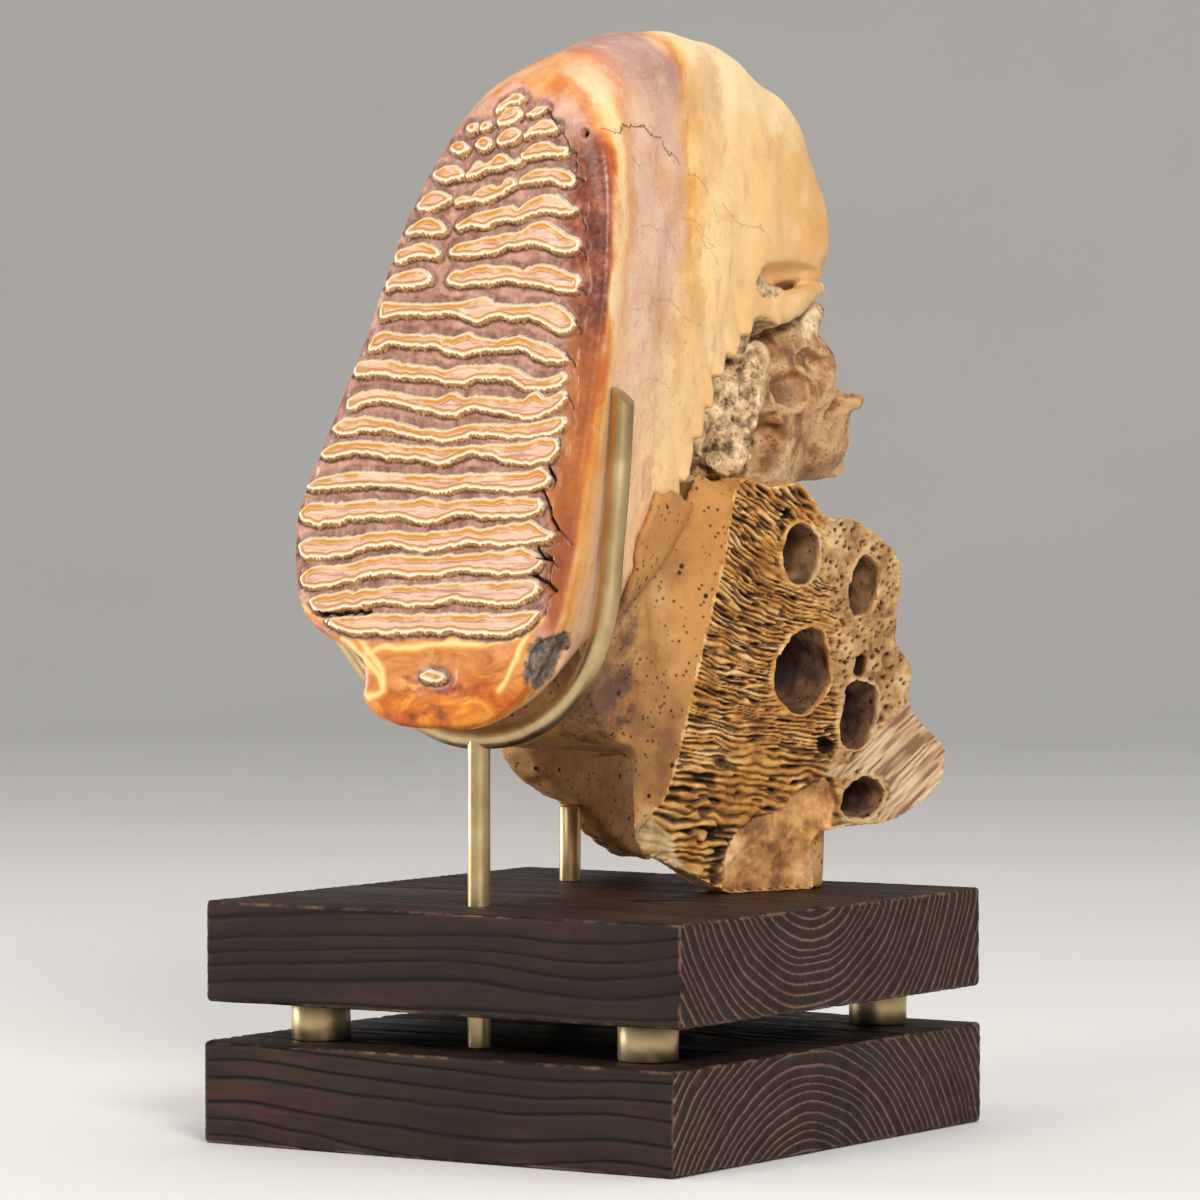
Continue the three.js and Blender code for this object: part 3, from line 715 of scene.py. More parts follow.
# The worn plates of the grinding face: the upper line of each from left to right, then the lower
# line, both as (u, v). The last plates are worn into separate islands.
PLATES = [
    ([(-53.5, 38.2), (-46, 39.4), (-30, 40.6), (-10, 41), (10, 41.3), (20, 41.6), (30, 42.6), (36.5, 42)],
     [(33, 38.5), (27.5, 35.3), (20, 34.2), (10, 34.4), (0, 35), (-10, 34.7), (-20, 34.6), (-30, 33.8),
      (-41, 34), (-49, 35.5)]),
    ([(-61, 45), (-59, 46.6), (-50, 47.6), (-40, 49), (-30, 50.2), (-20, 51), (0, 51.8), (20, 52.8),
      (30, 53.6), (35, 52)],
     [(34, 48.3), (27.5, 45.4), (20, 44.8), (10, 45.4), (0, 46.1), (-5, 44.8), (-10, 44.1), (-20, 44.1),
      (-30, 44.8), (-40, 43.3), (-50, 41.6), (-58, 41)]),
    ([(-65, 54), (-62, 56.2), (-50, 57.7), (-40, 59.6), (-30, 61.6), (-20, 61.2), (-10, 61.2), (0, 62),
      (10, 62.7), (20, 63.4), (28, 64.1), (36, 60.5)],
     [(34, 56.6), (27.5, 55.2), (18, 55.2), (5, 56.2), (0, 55.9), (-5, 54.7), (-20, 54.5), (-30, 55.1),
      (-36, 54.2), (-46, 51.5), (-55, 49.7), (-64, 50)]),
    ([(-67, 65), (-63, 67.2), (-50, 67.3), (-40, 68.6), (-30, 70), (-20, 69.1), (-10, 69.6), (0, 71),
      (10, 71.1), (20, 72.2), (30, 73.8), (35, 71), (40, 69.5)],
     [(38, 67.2), (32, 66), (20, 65), (10, 65.8), (4, 66), (-5, 64.1), (-15, 63), (-23, 63.9), (-30, 65.1),
      (-40, 63.3), (-48, 61), (-58, 59.8), (-65.5, 61)]),
    ([(-67.5, 76.5), (-64, 79.3), (-50, 79.7), (-40, 80.6), (-24, 80.3), (-17, 81.3), (-8, 80.6), (5, 81),
      (20, 81.8), (33, 81.7)],
     [(34.5, 77.5), (30, 75.5), (18, 74.7), (8, 75.2), (1, 75.9), (-4, 75), (-9, 72.9), (-17, 73),
      (-24, 74.6), (-38, 74.4), (-47, 73.6), (-57, 72), (-66, 73)]),
    ([(-65, 85.8), (-61, 88.1), (-50, 89.9), (-40, 90.6), (-25, 90), (-10, 89.5), (0, 89.7), (15, 90.2),
      (27, 90.9), (33, 92.2), (37, 90.3)],
     [(36.5, 87.5), (32, 85.4), (25, 84.2), (8, 84.6), (1, 85), (-6, 83.8), (-10, 83), (-17, 84.2),
      (-24, 85.3), (-42, 85.3), (-53, 84.8), (-62, 84)]),
    ([(-59.5, 97.5), (-56, 100), (-47, 101.5), (-40, 101.6), (-30, 100.6), (-20, 100), (-5, 99.2),
      (10, 100.2), (22, 100.4), (33, 102.3), (39, 102.2)],
     [(40, 98.5), (36, 94.6), (29, 93.3), (22, 93.9), (15, 95), (9, 96.5), (4, 96.8), (-2, 95.3),
      (-6, 93.9), (-13, 93.9), (-20, 95.4), (-30, 95.6), (-43, 97.2), (-52, 95.8), (-58.5, 95.6)]),
    ([(-54.8, 106.5), (-50, 109.5), (-41, 110), (-30, 108.2), (-20, 106.3), (-8, 105.6), (2, 107),
      (9, 107.9), (15, 107.7), (21, 106.7), (30, 107.8), (36, 109), (41.5, 109.5)],
     [(42.3, 107), (38, 104), (30, 102.6), (20, 102.4), (13, 103.5), (6, 103.9), (0, 102.4), (-6, 101.4),
      (-16, 102.3), (-24, 103.4), (-33, 105), (-43, 105), (-50, 103.6), (-54, 104.2)]),
    ([(-49.6, 115.5), (-45, 118.3), (-37, 119.9), (-30, 118.8), (-20, 117.2), (-12, 116.2), (-6, 118.3),
      (0, 117), (8, 117.6), (17, 116.6), (24, 115.8), (27, 117.5), (30, 118.3), (34, 116.4), (40, 118.4)],
     [(42.3, 116), (38, 112), (30, 109.4), (24, 109), (16, 111), (9, 112.5), (4, 113.3), (-3, 111),
      (-8, 110.8), (-18, 112.5), (-28, 114.5), (-36, 115.8), (-43, 114.4), (-49, 112.3)]),
    ([(-47, 127), (-44.5, 129.6), (-37, 130.2), (-28, 129.1), (-19, 127.8), (-8, 126.6), (-1, 128.1),
      (7, 128), (14, 128.5), (19, 127), (24, 124.7), (30, 122.9), (35, 123.5), (40, 125.2)],
     [(41.8, 122.5), (39, 120.3), (31, 119), (25, 119.5), (18, 122.6), (8, 123.5), (3, 122.9), (-4, 121.1),
      (-12, 122.6), (-20, 123.5), (-29, 124), (-36, 125.5), (-42, 124.7), (-47, 124.2)]),
    ([(-41.5, 136), (-39.5, 139), (-35, 140.2), (-28, 139.2), (-16, 138.7), (-6, 137.7), (0, 139.6),
      (4, 137.9), (12, 137), (20, 137.9), (27, 136.8), (34, 134.8), (40, 131.8)],
     [(41.5, 129.8), (38, 128.6), (31, 129.7), (26, 132), (19, 133.3), (9, 133), (3, 132.6), (-2, 131.3),
      (-8, 132.6), (-13, 134.4), (-24, 134.8), (-33, 135.9), (-38, 134.2), (-41.5, 133.3)]),
    ([(-38, 148), (-37, 151), (-31, 150.2), (-18, 149.7), (-7, 149.8), (1, 150.8), (6, 151.6), (12, 149.4),
      (20, 148.8), (29, 149.1), (34, 149.2), (39, 147), (43.5, 143)],
     [(43, 139.8), (38, 139), (33, 141.4), (27, 143.8), (18, 144.1), (10, 144.9), (4, 142.9), (-1, 144),
      (-7, 145.7), (-15, 145.5), (-26, 146.2), (-33, 145.4), (-37.5, 144.2)]),
    ([(-35.8, 158), (-33, 160.4), (-28, 161.6), (-21, 161.6), (-18, 159.4)],
     [(-18, 157.2), (-23, 156), (-29, 155.8), (-33, 156), (-35.6, 154.8)]),
    ([(-10.3, 158.4), (-7.5, 161), (0, 162), (9, 162.8), (17, 161.8), (21, 161.2), (27.5, 162.3), (33, 162),
      (39, 160.2), (44, 158.8)],
     [(45, 155.5), (43.5, 152.8), (37, 153.5), (29, 155), (20, 156.4), (13, 157.3), (7, 156.4), (-1, 155.8),
      (-9, 156.2)]),
    ([(-32.4, 167.5), (-29, 169.8), (-22, 170.8), (-17.5, 170), (-14.4, 167.9)],
     [(-15, 165.9), (-21, 166.2), (-27, 165.8), (-32, 164.3)]),
    ([(-9.8, 168.3), (-6.5, 170.8), (-1, 171.3), (5, 172.7), (12, 173.5), (19, 174.4), (24.5, 176.9),
      (29.5, 177.9), (34, 175.5), (39, 172.6), (43.5, 170.5)],
     [(44, 167.8), (41, 166.2), (36, 166.6), (30, 168.5), (24, 170), (17, 169), (9, 167.5), (3, 165.9),
      (-3, 166.2), (-9, 166.4)]),
    ([(-28.6, 175.6), (-24.5, 178.8), (-19, 180), (-14.7, 178), (-12, 175.4)],
     [(-13.5, 174), (-18, 173.9), (-24, 174.6), (-28.4, 173.9)]),
    ([(-7.3, 177.3), (-4.5, 179.4), (1, 181.1), (8, 182.7), (15, 183.2), (18, 182.2), (24, 185.8),
      (29.5, 187.2), (35, 185.7), (39, 182.8), (42, 181.6)],
     [(41.5, 180), (36, 180), (30, 181.1), (24, 179.7), (17, 177.9), (9, 178), (3, 176.1), (-2, 176.7),
      (-7.3, 175.7)]),
    ([(-24.3, 185), (-21, 188.3), (-16.8, 189.5), (-12.6, 188.3), (-10.5, 186.3)],
     [(-13, 184.8), (-18, 183.2), (-23.8, 182.8)]),
    ([(-8.6, 186), (-5.5, 187.5), (-2.2, 187.4), (1.5, 189.7), (5.3, 190.8), (8.5, 190.2), (12, 192.6),
      (15.3, 192.6), (16.3, 190.6)],
     [(13.5, 188.6), (8.3, 186.8), (3, 185.2), (-4, 185.3), (-8.3, 184)]),
    ([(18, 192.4), (22, 194.7), (27.4, 196.3), (33, 195.8), (38, 194.4), (40.6, 192.4)],
     [(39, 190), (35, 190), (32.5, 190.7), (29, 192.1), (23, 190.7), (18, 190.6)]),
    ([(-18, 196), (-13.7, 198.4), (-9.5, 197.9), (-5.9, 194.9)],
     [(-8, 193.4), (-12.6, 192.6), (-18, 193.9)]),
    ([(-4, 195.8), (-1.2, 198.9), (2, 198.3), (4, 198.4), (7.4, 201.1), (11, 201.2), (13.7, 199.2),
      (17.2, 199.8)],
     [(17.2, 197.7), (12.6, 197.1), (8.4, 196.3), (3.4, 195.9), (0, 194.2), (-4, 194.2)]),
    ([(18.4, 201.5), (23, 204.6), (28.4, 205.3), (32.5, 203.9), (36.4, 203.2)],
     [(36.2, 200.8), (29.5, 200.8), (24, 199.8), (18.5, 199.6)]),
    ([(-12, 204.8), (-10.2, 206.6), (-7, 206.6), (-5.3, 204.6)],
     [(-6.6, 202.4), (-10, 202.6)]),
    ([(-1.5, 205.5), (0.5, 207.5), (3.6, 207.2), (4.8, 205)],
     [(3.2, 203), (0, 203.2)]),
    ([(7, 206.5), (9.5, 209.6), (13, 210.7), (16.2, 209.6), (17.2, 207.5)],
     [(13, 205.3), (8.5, 204.8)]),
    ([(18.6, 208.3), (22, 211.6), (26.3, 213.2), (30.5, 212.4), (32.9, 210.4)],
     [(29, 208.3), (22, 208.2), (19, 207.2)]),
    ([(-5.9, 211), (-4.4, 213), (-2.2, 212.8), (-1.4, 210.8)],
     [(-3.4, 209.2)]),
    ([(-0.2, 211.4), (1.4, 213.4), (3.4, 213.4), (4.4, 211.6)],
     [(2.4, 209.8), (0.6, 209.8)]),
    ([(7.4, 213.6), (10.4, 217.3), (14.6, 218), (16.6, 216.2)],
     [(15, 213.6), (11.5, 212.2), (7.8, 211.9)]),
    ([(19, 215.6), (23, 218.2), (27.5, 217.4)],
     [(26, 215.6), (21, 215)]),
    ([(6.4, 217.8), (10.5, 221), (14.6, 222.9), (17.3, 221.2)],
     [(15.6, 219.6), (11.4, 218.6), (7.2, 216.2)]),
    ([(-11.8, 19.6), (-9, 21.2), (-4.5, 21.2), (-1.4, 19.5)],
     [(-4, 17.6), (-9.5, 17.8)]),
]
# The narrow cracks at the plates' right ends, the round crack low down, and the small hole
CRACKS = [
    [(27.9, 215.3), (33.2, 209.3), (35.8, 205.3), (37.4, 202.1), (40, 200.8), (40.2, 195)],
    [(37.4, 202.1), (40.5, 200.6)], [(40.4, 192.6), (43.6, 191.5)],
    [(42.6, 181.6), (44.2, 178), (46.3, 174.7)], [(44.2, 167.9), (47.4, 163.2)], [(44, 154), (47, 152.2)],
    [(43.4, 143), (46.5, 138)], [(41, 131), (44.8, 127.4)], [(42, 117.5), (45.6, 112)],
    [(42.3, 107), (41, 103.4)], [(33.2, 84.6), (36.4, 80.2), (38.3, 74.8), (41.6, 70.8), (48.7, 65.5)],
    [(36.4, 91.6), (38.7, 87.5), (38.1, 84.6)], [(40, 102), (40.6, 97)],
    [(33.5, 61), (40, 60), (39.7, 52), (42.8, 49.6), (40, 47.4), (38, 41)],
    [(37, 62.6), (40, 60), (42.7, 58)], [(-60, 40.3), (-52, 39.6), (-53.5, 35.5)],
    [(-66.8, 55), (-66.2, 49.4)]
]
GAPS = [
    [(34, 84.2), (36.6, 79.8), (38.6, 74.6), (41.2, 70.8)], [(36.2, 91.9), (38.4, 88)],
    [(32, 54.9), (38, 52.6), (42.4, 49.6)], [(33, 64.5), (36.2, 60.9), (39.6, 60.4)],
    [(-57, 40.6), (-47, 40.4), (-35, 41.6)]
]
HOLE = (43.7, 207.9)


# Coloured streaks of the lower lobe, as lines on the face
SWIRLS = [
    [(-66, 42), (-53, 38), (-45, 31), (-36, 25), (-30, 20), (-28, 15), (-33, 11)],
    [(-40, 33), (-34, 27), (-29, 22), (-28, 17)],
    [(37, 41), (31, 35), (29, 25), (22, 15)],
    [(33, 37), (27, 33), (10, 31), (-12, 30.5), (-28, 29), (-36, 27.5)],
]
STREAKS = [
    [(-27, 13.5), (-18, 15), (-8, 14), (2, 14.5), (9, 13)], [(-20, 20), (-14, 18)],
    [(-16, 6), (-6, 8.5), (0, 5)]
]


# The plates' pattern lies on the rounded edges along this slant, out of the face and to the right
SLANT = np.array([0.67, -0.11, -1.0]) / 1.21


def pattern_place(t):
    """Where on the flat pattern of the plates a point of the crown lies."""
    return t[:, 0] + 0.67 * t[:, 2], t[:, 1] - 0.11 * t[:, 2]


def outward(t):
    steepest = slope(crown_plain, t, 0.5)
    return steepest / np.linalg.norm(steepest, axis=1)[:, None]


def top_left(t):
    """1 on the broadly rounded upper part of the grinding face's edge, 0 elsewhere."""
    return smooth(t[:, 1] - 0.5 * t[:, 0], 105, 122) * (1 - smooth(t[:, 0] + 0.67 * t[:, 2], 54, 58))


def loops_on(u, v):
    """Signed distance to the nearest worn plate's outline, and distances to its upper and lower lines."""
    near, upper_line, lower_line = np.full((3, len(u)), 9.0)
    for upper, lower in PLATES:
        loop = smooth_loop(upper + lower, 0.9)
        low, high = loop.min(0) - 5, loop.max(0) + 5
        where = np.nonzero((u > low[0]) & (u < high[0]) & (v > low[1]) & (v < high[1]))[0]
        if not len(where):
            continue
        right = loop[:, 0].argmax()
        x, y = u[where], v[where]
        over = line_distance(loop[: right + 1], x, y)
        under = line_distance(np.concatenate([loop[right:], loop[:1]]), x, y)
        distance = np.minimum(over, under)
        distance[outline_distance(loop, x, y) < 0] *= -1
        near[where] = np.minimum(near[where], distance)
        upper_line[where] = np.minimum(upper_line[where], over)
        lower_line[where] = np.minimum(lower_line[where], under)
    return near, upper_line, lower_line


def nearest_line(lines, u, v, waver, size, seed):
    shift = waver * noise(np.stack([u, v, 0 * u], 1), size, seed)
    best = np.full(len(u), 9.0)
    for line in lines:
        best = np.minimum(best, line_distance(line, u + shift, v - shift))
    return best


def face_relief(t):
    """Height of the plates, pools, cracks and holes of the grinding face, and marks that go with them."""
    u, v = pattern_place(t)
    flat = np.stack([u, v, 0 * u], 1)
    waver = 0.42 * noise(flat, (4.6, 12, 9), 26) + 0.3 * noise(flat, (2.1, 8, 9), 27)
    near, over, under = loops_on(u, v + waver)
    lower = smooth(over - under, -0.6, 0.6)
    jag = 0.6 * noise(flat, (1.1, 2.4, 9), 21) + 0.4 * noise(flat, (0.7, 1.3, 9), 22)
    coarse = noise(flat, (5, 3, 9), 23)
    edge_line = near + jag * np.where(np.abs(near) < 2.5, 0.3 + 0.3 * lower, 0)
    rim_up = smooth(-edge_line, -0.3, 0.45)
    rim_down = smooth(-edge_line, -1.6 - 0.4 * coarse, 0.1)
    wall = rim_up * (1 - lower) + rim_down * lower
    inner = 0.28 * smooth(-near, 0.7, 1.5) + 0.42 * smooth(-near, 1.7, 3.2) * (1 - 0.6 * lower)
    tall = 1.45 + 0.25 * coarse + 0.25 * noise(flat, (2.2, 2.2, 9), 24) * smooth(-np.abs(near), -1.6, 0)
    sag = 0.35 * smooth(near, 0.8, 2.2) * lower
    pool_ridges = 0.16 * noise(flat, (2.4, 9, 9), 25) * smooth(near, 0.5, 1.6)
    small = 0.1 * fractal(flat, (3, 1.3, 9), 3, 31)
    on_plates = 1 - smooth(near, 4.0, 6.0)
    crack = nearest_line(CRACKS, u, v, 0.5, 2.4, 41)
    gap = nearest_line(GAPS, u, v, 0.7, 2.0, 43)
    hole = np.hypot(u - HOLE[0], v - HOLE[1]) + 0.3 * noise(flat, 1.5, 47)
    swirl = nearest_line(SWIRLS, u, v, 1.3, 7, 48)
    streak = nearest_line(STREAKS, u, v, 2.0, 5, 49)
    sunk = -0.8 * (1 - smooth(crack, 0.15, 0.6)) - 2.4 * (1 - smooth(gap, 0.2, 1.1))
    sunk = sunk - 4.5 * (1 - smooth(hole, 0.9, 1.8))
    sunk += 0.25 * (1 - smooth(swirl, 0.3, 1.6))
    height = (tall * wall - inner * wall + pool_ridges) * on_plates
    height = height - (0.75 + sag) * (1 - smooth(near, 1.2, 6.5)) + small + sunk
    marks = {
        "plate": near, "over": over, "under": under, "crack": np.minimum(np.minimum(crack, gap - 0.35),
        hole - 1.0), "swirl": swirl, "streak": streak, "jag": jag
    }
    return height, marks


# Height up the face at which it is parted in two pieces
FACE_SPLIT = 118
CROWN_SEARCH = {"low": (-76, -6, -3), "high": (64, 268, 176), "step": 1.5, "rounds": 3, "most": 0.8}


def build_crown():
    points, quads = surface_of(crown_field, **CROWN_SEARCH)
    quads = quads[:, ::-1]
    middle = points[quads].mean(1)
    shallow = (middle[:, 2] < 2.6) | (middle[:, 2] < 24) & (top_left(middle) > 0)
    on_face = (outward(middle) @ SLANT > 0.25) & shallow
    fine, small = split_quads(points, quads, on_face, 3)
    edge = rim_points(small, len(fine))
    moved = settle(fine, crown_field, 2)
    fine[~edge] = moved[~edge]
    away = outward(fine)
    height, face_marks = face_relief(fine)
    height *= smooth(away @ SLANT, 0.27, 0.5) * (1 - smooth(fine[:, 2], 1.4, 2.5) * (1 - top_left(fine)))
    height[edge] = 0
    fine += away * height[:, None]
    whole = np.concatenate([points, fine])
    rest = quads[~on_face]
    place = from_tooth(whole)
    direction = joined_normals(whole, np.concatenate([rest, small + len(points)]), place)
    marks = {key: np.concatenate([np.full(len(points), 9.0), value]) for key, value in face_marks.items()}
    marks["jag"][: len(points)] = 0
    marks.update(
        {"side_edge": face_table(whole[:, 0], whole[:, 1]), "across": whole[:, 0], "up": whole[:, 1],
        "depth": whole[:, 2], "horn": chain(place, HORN), "matrix": lump_distance(whole, MATRIX, 2.2),
        "past": np.minimum(np.where(whole[:, 0] > 24, past_flank(whole)[0], 30.0),
        lump_distance(place, POCKET, 2.2))}
    )
    material = crown_material()
    face = small + len(points)
    upper = whole[face[:, 0], 1] > FACE_SPLIT
    parts = {"grinding_face_upper": face[upper], "grinding_face_lower": face[~upper], "crown": rest}
    for name, part in parts.items():
        make_piece(name, place, part, material, marks, direction, ["molar"])


def share_crown_sockets(f):
    """The marks and noises that the crown's colours share."""
    f.plate, f.over, f.under = f.mark("plate"), f.mark("over"), f.mark("under")
    f.crack, f.swirl, f.streak, f.jag = f.mark("crack"), f.mark("swirl"), f.mark("streak"), f.mark("jag")
    f.up, f.depth, f.across, f.horn = f.mark("up"), f.mark("depth"), f.mark("across"), f.mark("horn")
    f.wide = f.noise(28, 4, 0.6)
    f.middle = f.noise(90, 5, 0.6)
    f.fine = f.noise(420, 4, 0.6)
    f.speck = f.noise(900, 3, 0.6)
    f.strokes = f.noise(1050, 3, 0.6, f.stretch((1, 1, 0.28)))
    f.along = f.noise(420, 4, 0.6, f.stretch((0.16, 1, 1.7)))


def flank_colour(f):
    """The flanks, by how deep they lie behind the grinding face."""
    f.warped = f.shift(f.depth, f.wide, 5)
    f.warped = f.plus(
        f.warped, f.times(f.ranged(f.middle, 0.3, 0.7, -2.6, 2.6, False), f.ranged(f.depth, 4, 20, 0.3, 1))
    )
    upper = f.ramp(
        f.warped, [(-8, "9C4526"), (1, "AE532C"), (3.5, "D9873F"), (6, "F3CB8E"), (10, "F4D3A0"),
        (14, "E3A264"), (17, "DDA67C"), (24, "E4B99C"), (40, "DDB29C"), (54, "DCAE92"), (60, "DE9F50"),
        (64, "EEBB6C"), (76, "F6D298"), (105, "EDC083"), (150, "DCAA68")], -10, 160
    )
    lower = f.ramp(
        f.warped, [(-8, "B5522A"), (0.5, "C8662A"), (4, "DF9140"), (9, "EDB870"), (14, "E8BA8C"),
        (26, "E9BC96"), (42, "EBBF92"), (56, "F2CA92"), (80, "E6B87C"), (150, "DDAC6E")], -10, 160
    )
    high = f.ranged(f.shift(f.up, f.wide, 26), 108, 172)
    side = f.mix(high, lower, upper)
    crest_top = f.ramp(
        f.warped, [(-8, "B4623A"), (6, "C97238"), (12, "DC9A58"), (18, "C4733C"), (24, "B07E6C"),
        (50, "A98076"), (56, "D4863A"), (62, "ECC07A"), (80, "F0D6A4"), (150, "E6C48E")], -10, 160
    )
    side = f.mix(f.ranged(f.shift(f.up, f.middle, 7), 214, 240), side, crest_top)
    side = f.mix(f.ranged(f.middle, 0.46, 0.68, 0, 0.3), side, "F3DCB2")
    mottled = f.times(f.ranged(f.fine, 0.54, 0.7, 0, 0.34), f.ranged(f.depth, 110, 60, 0.35, 1))
    side = f.mix(mottled, side, "A9724E")
    side = f.mix(
        f.ranged(f.noise(60, 5, 0.65, f.stretch((1, 1.6, 0.7))), 0.54, 0.72, 0, 0.5), side, "C48A68"
    )
    side = f.mix(f.ranged(f.noise(34, 4, 0.6), 0.5, 0.66, 0, 0.45), side, "C98A50")
    side = f.mix(
        f.ranged(f.horn, 7, 2, 0, 0.8), side, f.ramp(f.middle, [(0.35, "D9A96C"), (0.6, "EBC48A")])
    )
    return side


def margin_colour(f):
    """The grinding face round the plates: red margins, amber lobe below, fleshy top."""
    flow = f.noise(46, 5, 0.6, f.stretch((1, 1, 2.4)), 1.4)
    lobe = f.ramp(
        flow, [(0.28, "80330A"), (0.4, "AE5008"), (0.5, "C66C0E"), (0.6, "D68A28"), (0.72, "E2A95C")]
    )
    lobe = f.mix(f.ranged(f.shift(f.up, f.middle, 6), 9, 24, 0, 0.75), lobe,
                 f.ramp(flow, [(0.3, "A4582A"), (0.45, "BF7B42"), (0.58, "CE925C"), (0.7, "DDA866")]))
    streaked = f.shift(f.streak, f.middle, 2.2)
    lobe = f.mix(
        f.ranged(streaked, 2.6, 0.2, 0, 0.85), lobe, f.ramp(f.fine, [(0.4, "7A2F16"), (0.6, "9A5030")])
    )
    mauve = f.ramp(f.blend(f.middle, f.fine),
                   [(0.36, "8A4E3A"), (0.46, "A87460"), (0.54, "B98A78"), (0.66, "CBA18C")])
    orange = f.ramp(
        f.noise(38, 4, 0.6, f.stretch((1, 1, 0.5))), [(0.3, "7A3816"), (0.44, "A45A20"), (0.56, "BE7C38"),
        (0.7, "D6A468")]
    )
    red = f.ramp(
        f.blend(f.middle, f.fine), [(0.38, "4E1F12"), (0.47, "70331F"), (0.55, "8C4A2E"), (0.66, "AC7048")]
    )
    margin = f.mix(f.ranged(f.shift(f.up, f.wide, 24), 96, 150), orange, red)
    margin = f.mix(f.ranged(f.shift(f.across, f.wide, 5), 34, 41), mauve, margin)
    rim = f.ramp(f.middle, [(0.35, "7E2C14"), (0.5, "A33F1E"), (0.65, "B9562E")])
    left = f.times(f.ranged(f.mark("side_edge"), -4.2, -1.6), f.ranged(f.across, 10, -15))
    margin = f.mix(left, margin, rim)
    top = f.ramp(
        f.noise(45, 5, 0.62), [(0.3, "A65A3A"), (0.42, "C78860"), (0.52, "CFA08C"), (0.62, "D9AE92"),
        (0.74, "DE9A5C")]
    )
    ground = f.mix(f.ranged(f.shift(f.up, f.middle, 3), 35, 30), margin, lobe)
    ground = f.mix(f.ranged(f.shift(f.up, f.wide, 7), 200, 220), ground, top)
    swirled = f.ramp(
        f.swirl, [(0, "F2D594"), (0.7, "EDC075"), (1.3, "DD9440"), (2.2, "C97C34"), (3.2, "DDA25A")], 0, 4
    )
    ground = f.mix(f.ranged(f.shift(f.swirl, f.fine, 0.5), 3.2, 1.2, 0, 0.9), ground, swirled)
    return ground


def plate_colour(f, ground):
    """Worn plates, by distance from their outline: an upper side and a lower side."""
    jagged = f.plus(f.plate, f.shift(f.times(f.jag, 0.28), f.strokes, 0.22))
    soft = f.shift(f.plate, f.middle, 0.25)
    frayed = f.plus(f.plate, f.ranged(f.strokes, 0.32, 0.68, -0.75, 0.75, False))
    frayed = f.plus(frayed, f.ranged(f.middle, 0.35, 0.65, -0.35, 0.55, False))
    frayed = f.mix(f.ranged(f.plate, -0.35, 0.25), soft, frayed)
    pool = f.ramp(f.blend(f.noise(170, 4, 0.6, f.stretch((1, 1, 0.5))), f.fine),
                  [(0.36, "6E453A"), (0.47, "8E6454"), (0.57, "AA8070"), (0.68, "C6A292")])
    dentine = f.ramp(
        f.along, [(0.32, "B07A66"), (0.42, "CC9E8C"), (0.52, "DEBCAA"), (0.6, "D4A476"), (0.7, "E6CDBB")]
    )
    upper_side = f.ramp(
        soft, [(-3.4, "D2A28A"), (-2.6, "A4683A"), (-2.35, "D9AE76"), (-2.0, "CC8C38"), (-1.3, "C5832C"),
        (-0.95, "D3A25C"), (-0.7, "E2CDA6"), (-0.4, "DED0B4"), (-0.15, "B8A488"), (0.12, "E4D8C0"),
        (0.4, "B8988A"), (0.7, "9A7060")], -4, 3
    )
    # Below each plate's lower line the ramp turns dark brown from 1.3 to 2.2 mm out. This is brown stain,
    # partly painted shade under the enamel's overhang.
    lower_side = f.ramp(
        frayed, [(-2.0, "D2A28A"), (-1.5, "A86A36"), (-1.1, "CE9856"), (-0.7, "DCC092"), (-0.4, "F2E8D4"),
        (-0.05, "EEDFBE"), (0.2, "C8924E"), (0.6, "9A602E"), (0.95, "C29660"), (1.3, "805028"),
        (1.7, "4C2A18"), (2.2, "5E3C30"), (2.8, "9A7060")], -4, 3
    )
    amber_gone = f.times(f.ranged(soft, -0.8, -1.1), f.ranged(f.noise(75, 4, 0.65), 0.44, 0.62, 0, 0.8))
    upper_side = f.mix(
        amber_gone, upper_side, f.ramp(f.along, [(0.35, "B98A66"), (0.48, "E0BFA0"), (0.6, "E8CDB4")])
    )
    upper_side = f.mix(f.ranged(jagged, 0.1, 0.42), upper_side, pool)
    upper_side = f.mix(f.ranged(f.plate, -2.5, -3.2), upper_side, dentine)
    lower_side = f.mix(f.ranged(f.plate, -1.5, -2.1), lower_side, dentine)
    lower_side = f.mix(f.ranged(f.plate, 1.7, 2.6), lower_side, pool)
    worn = f.mix(f.ranged(f.math("SUBTRACT", f.over, f.under), -0.35, 0.35), upper_side, lower_side)
    dark = f.times(f.ranged(f.speck, 0.64, 0.7), f.ranged(f.wide, 0.4, 0.6))
    worn = f.mix(f.times(dark, 0.55), worn, "6A4432")
    reach = f.ranged(f.shift(f.plate, f.middle, 0.8), 3.4, 1.9)
    ends = f.times(f.ranged(f.plate, 0.3, 0.9), f.ranged(f.shift(f.across, f.middle, 3), 36, 43))
    worn = f.mix(f.times(ends, 0.8), worn, ground)
    return f.mix(reach, ground, worn)


def crack_mask(f, band):
    """A few long cracks on the right flank, and fine short ones over its mauve band."""
    right = f.ranged(f.across, 30, 40)
    cracked = None
    for place, stops in FLANK_CRACKS:
        line = f.math("SUBTRACT", f.up, f.curve(f.depth, stops))
        line = f.math(
            "ABSOLUTE", f.plus(line, f.shift(f.ranged(f.fine, 0.3, 0.7, -0.9, 0.9, False), f.middle, 1.6))
        )
        mask = f.times(
            f.ranged(line, 0.42, 0.1), f.times(f.math("GREATER_THAN", f.depth, stops[0][0]),
            f.math("LESS_THAN", f.depth, stops[-1][0]))
        )
        mask = f.times(mask, place)
        cracked = mask if cracked is None else f.math("MAXIMUM", cracked, mask)
    hair = f.voronoi(150, "DISTANCE_TO_EDGE", f.mix(0.006, f.place, f.noise_colour(110)))
    hair = f.times(
        f.ranged(hair, 0.05, 0.01), f.times(band, f.ranged(f.noise(70, 3, 0.6), 0.5, 0.62, 0, 0.22))
    )
    return f.times(f.math("MAXIMUM", cracked, hair), right)


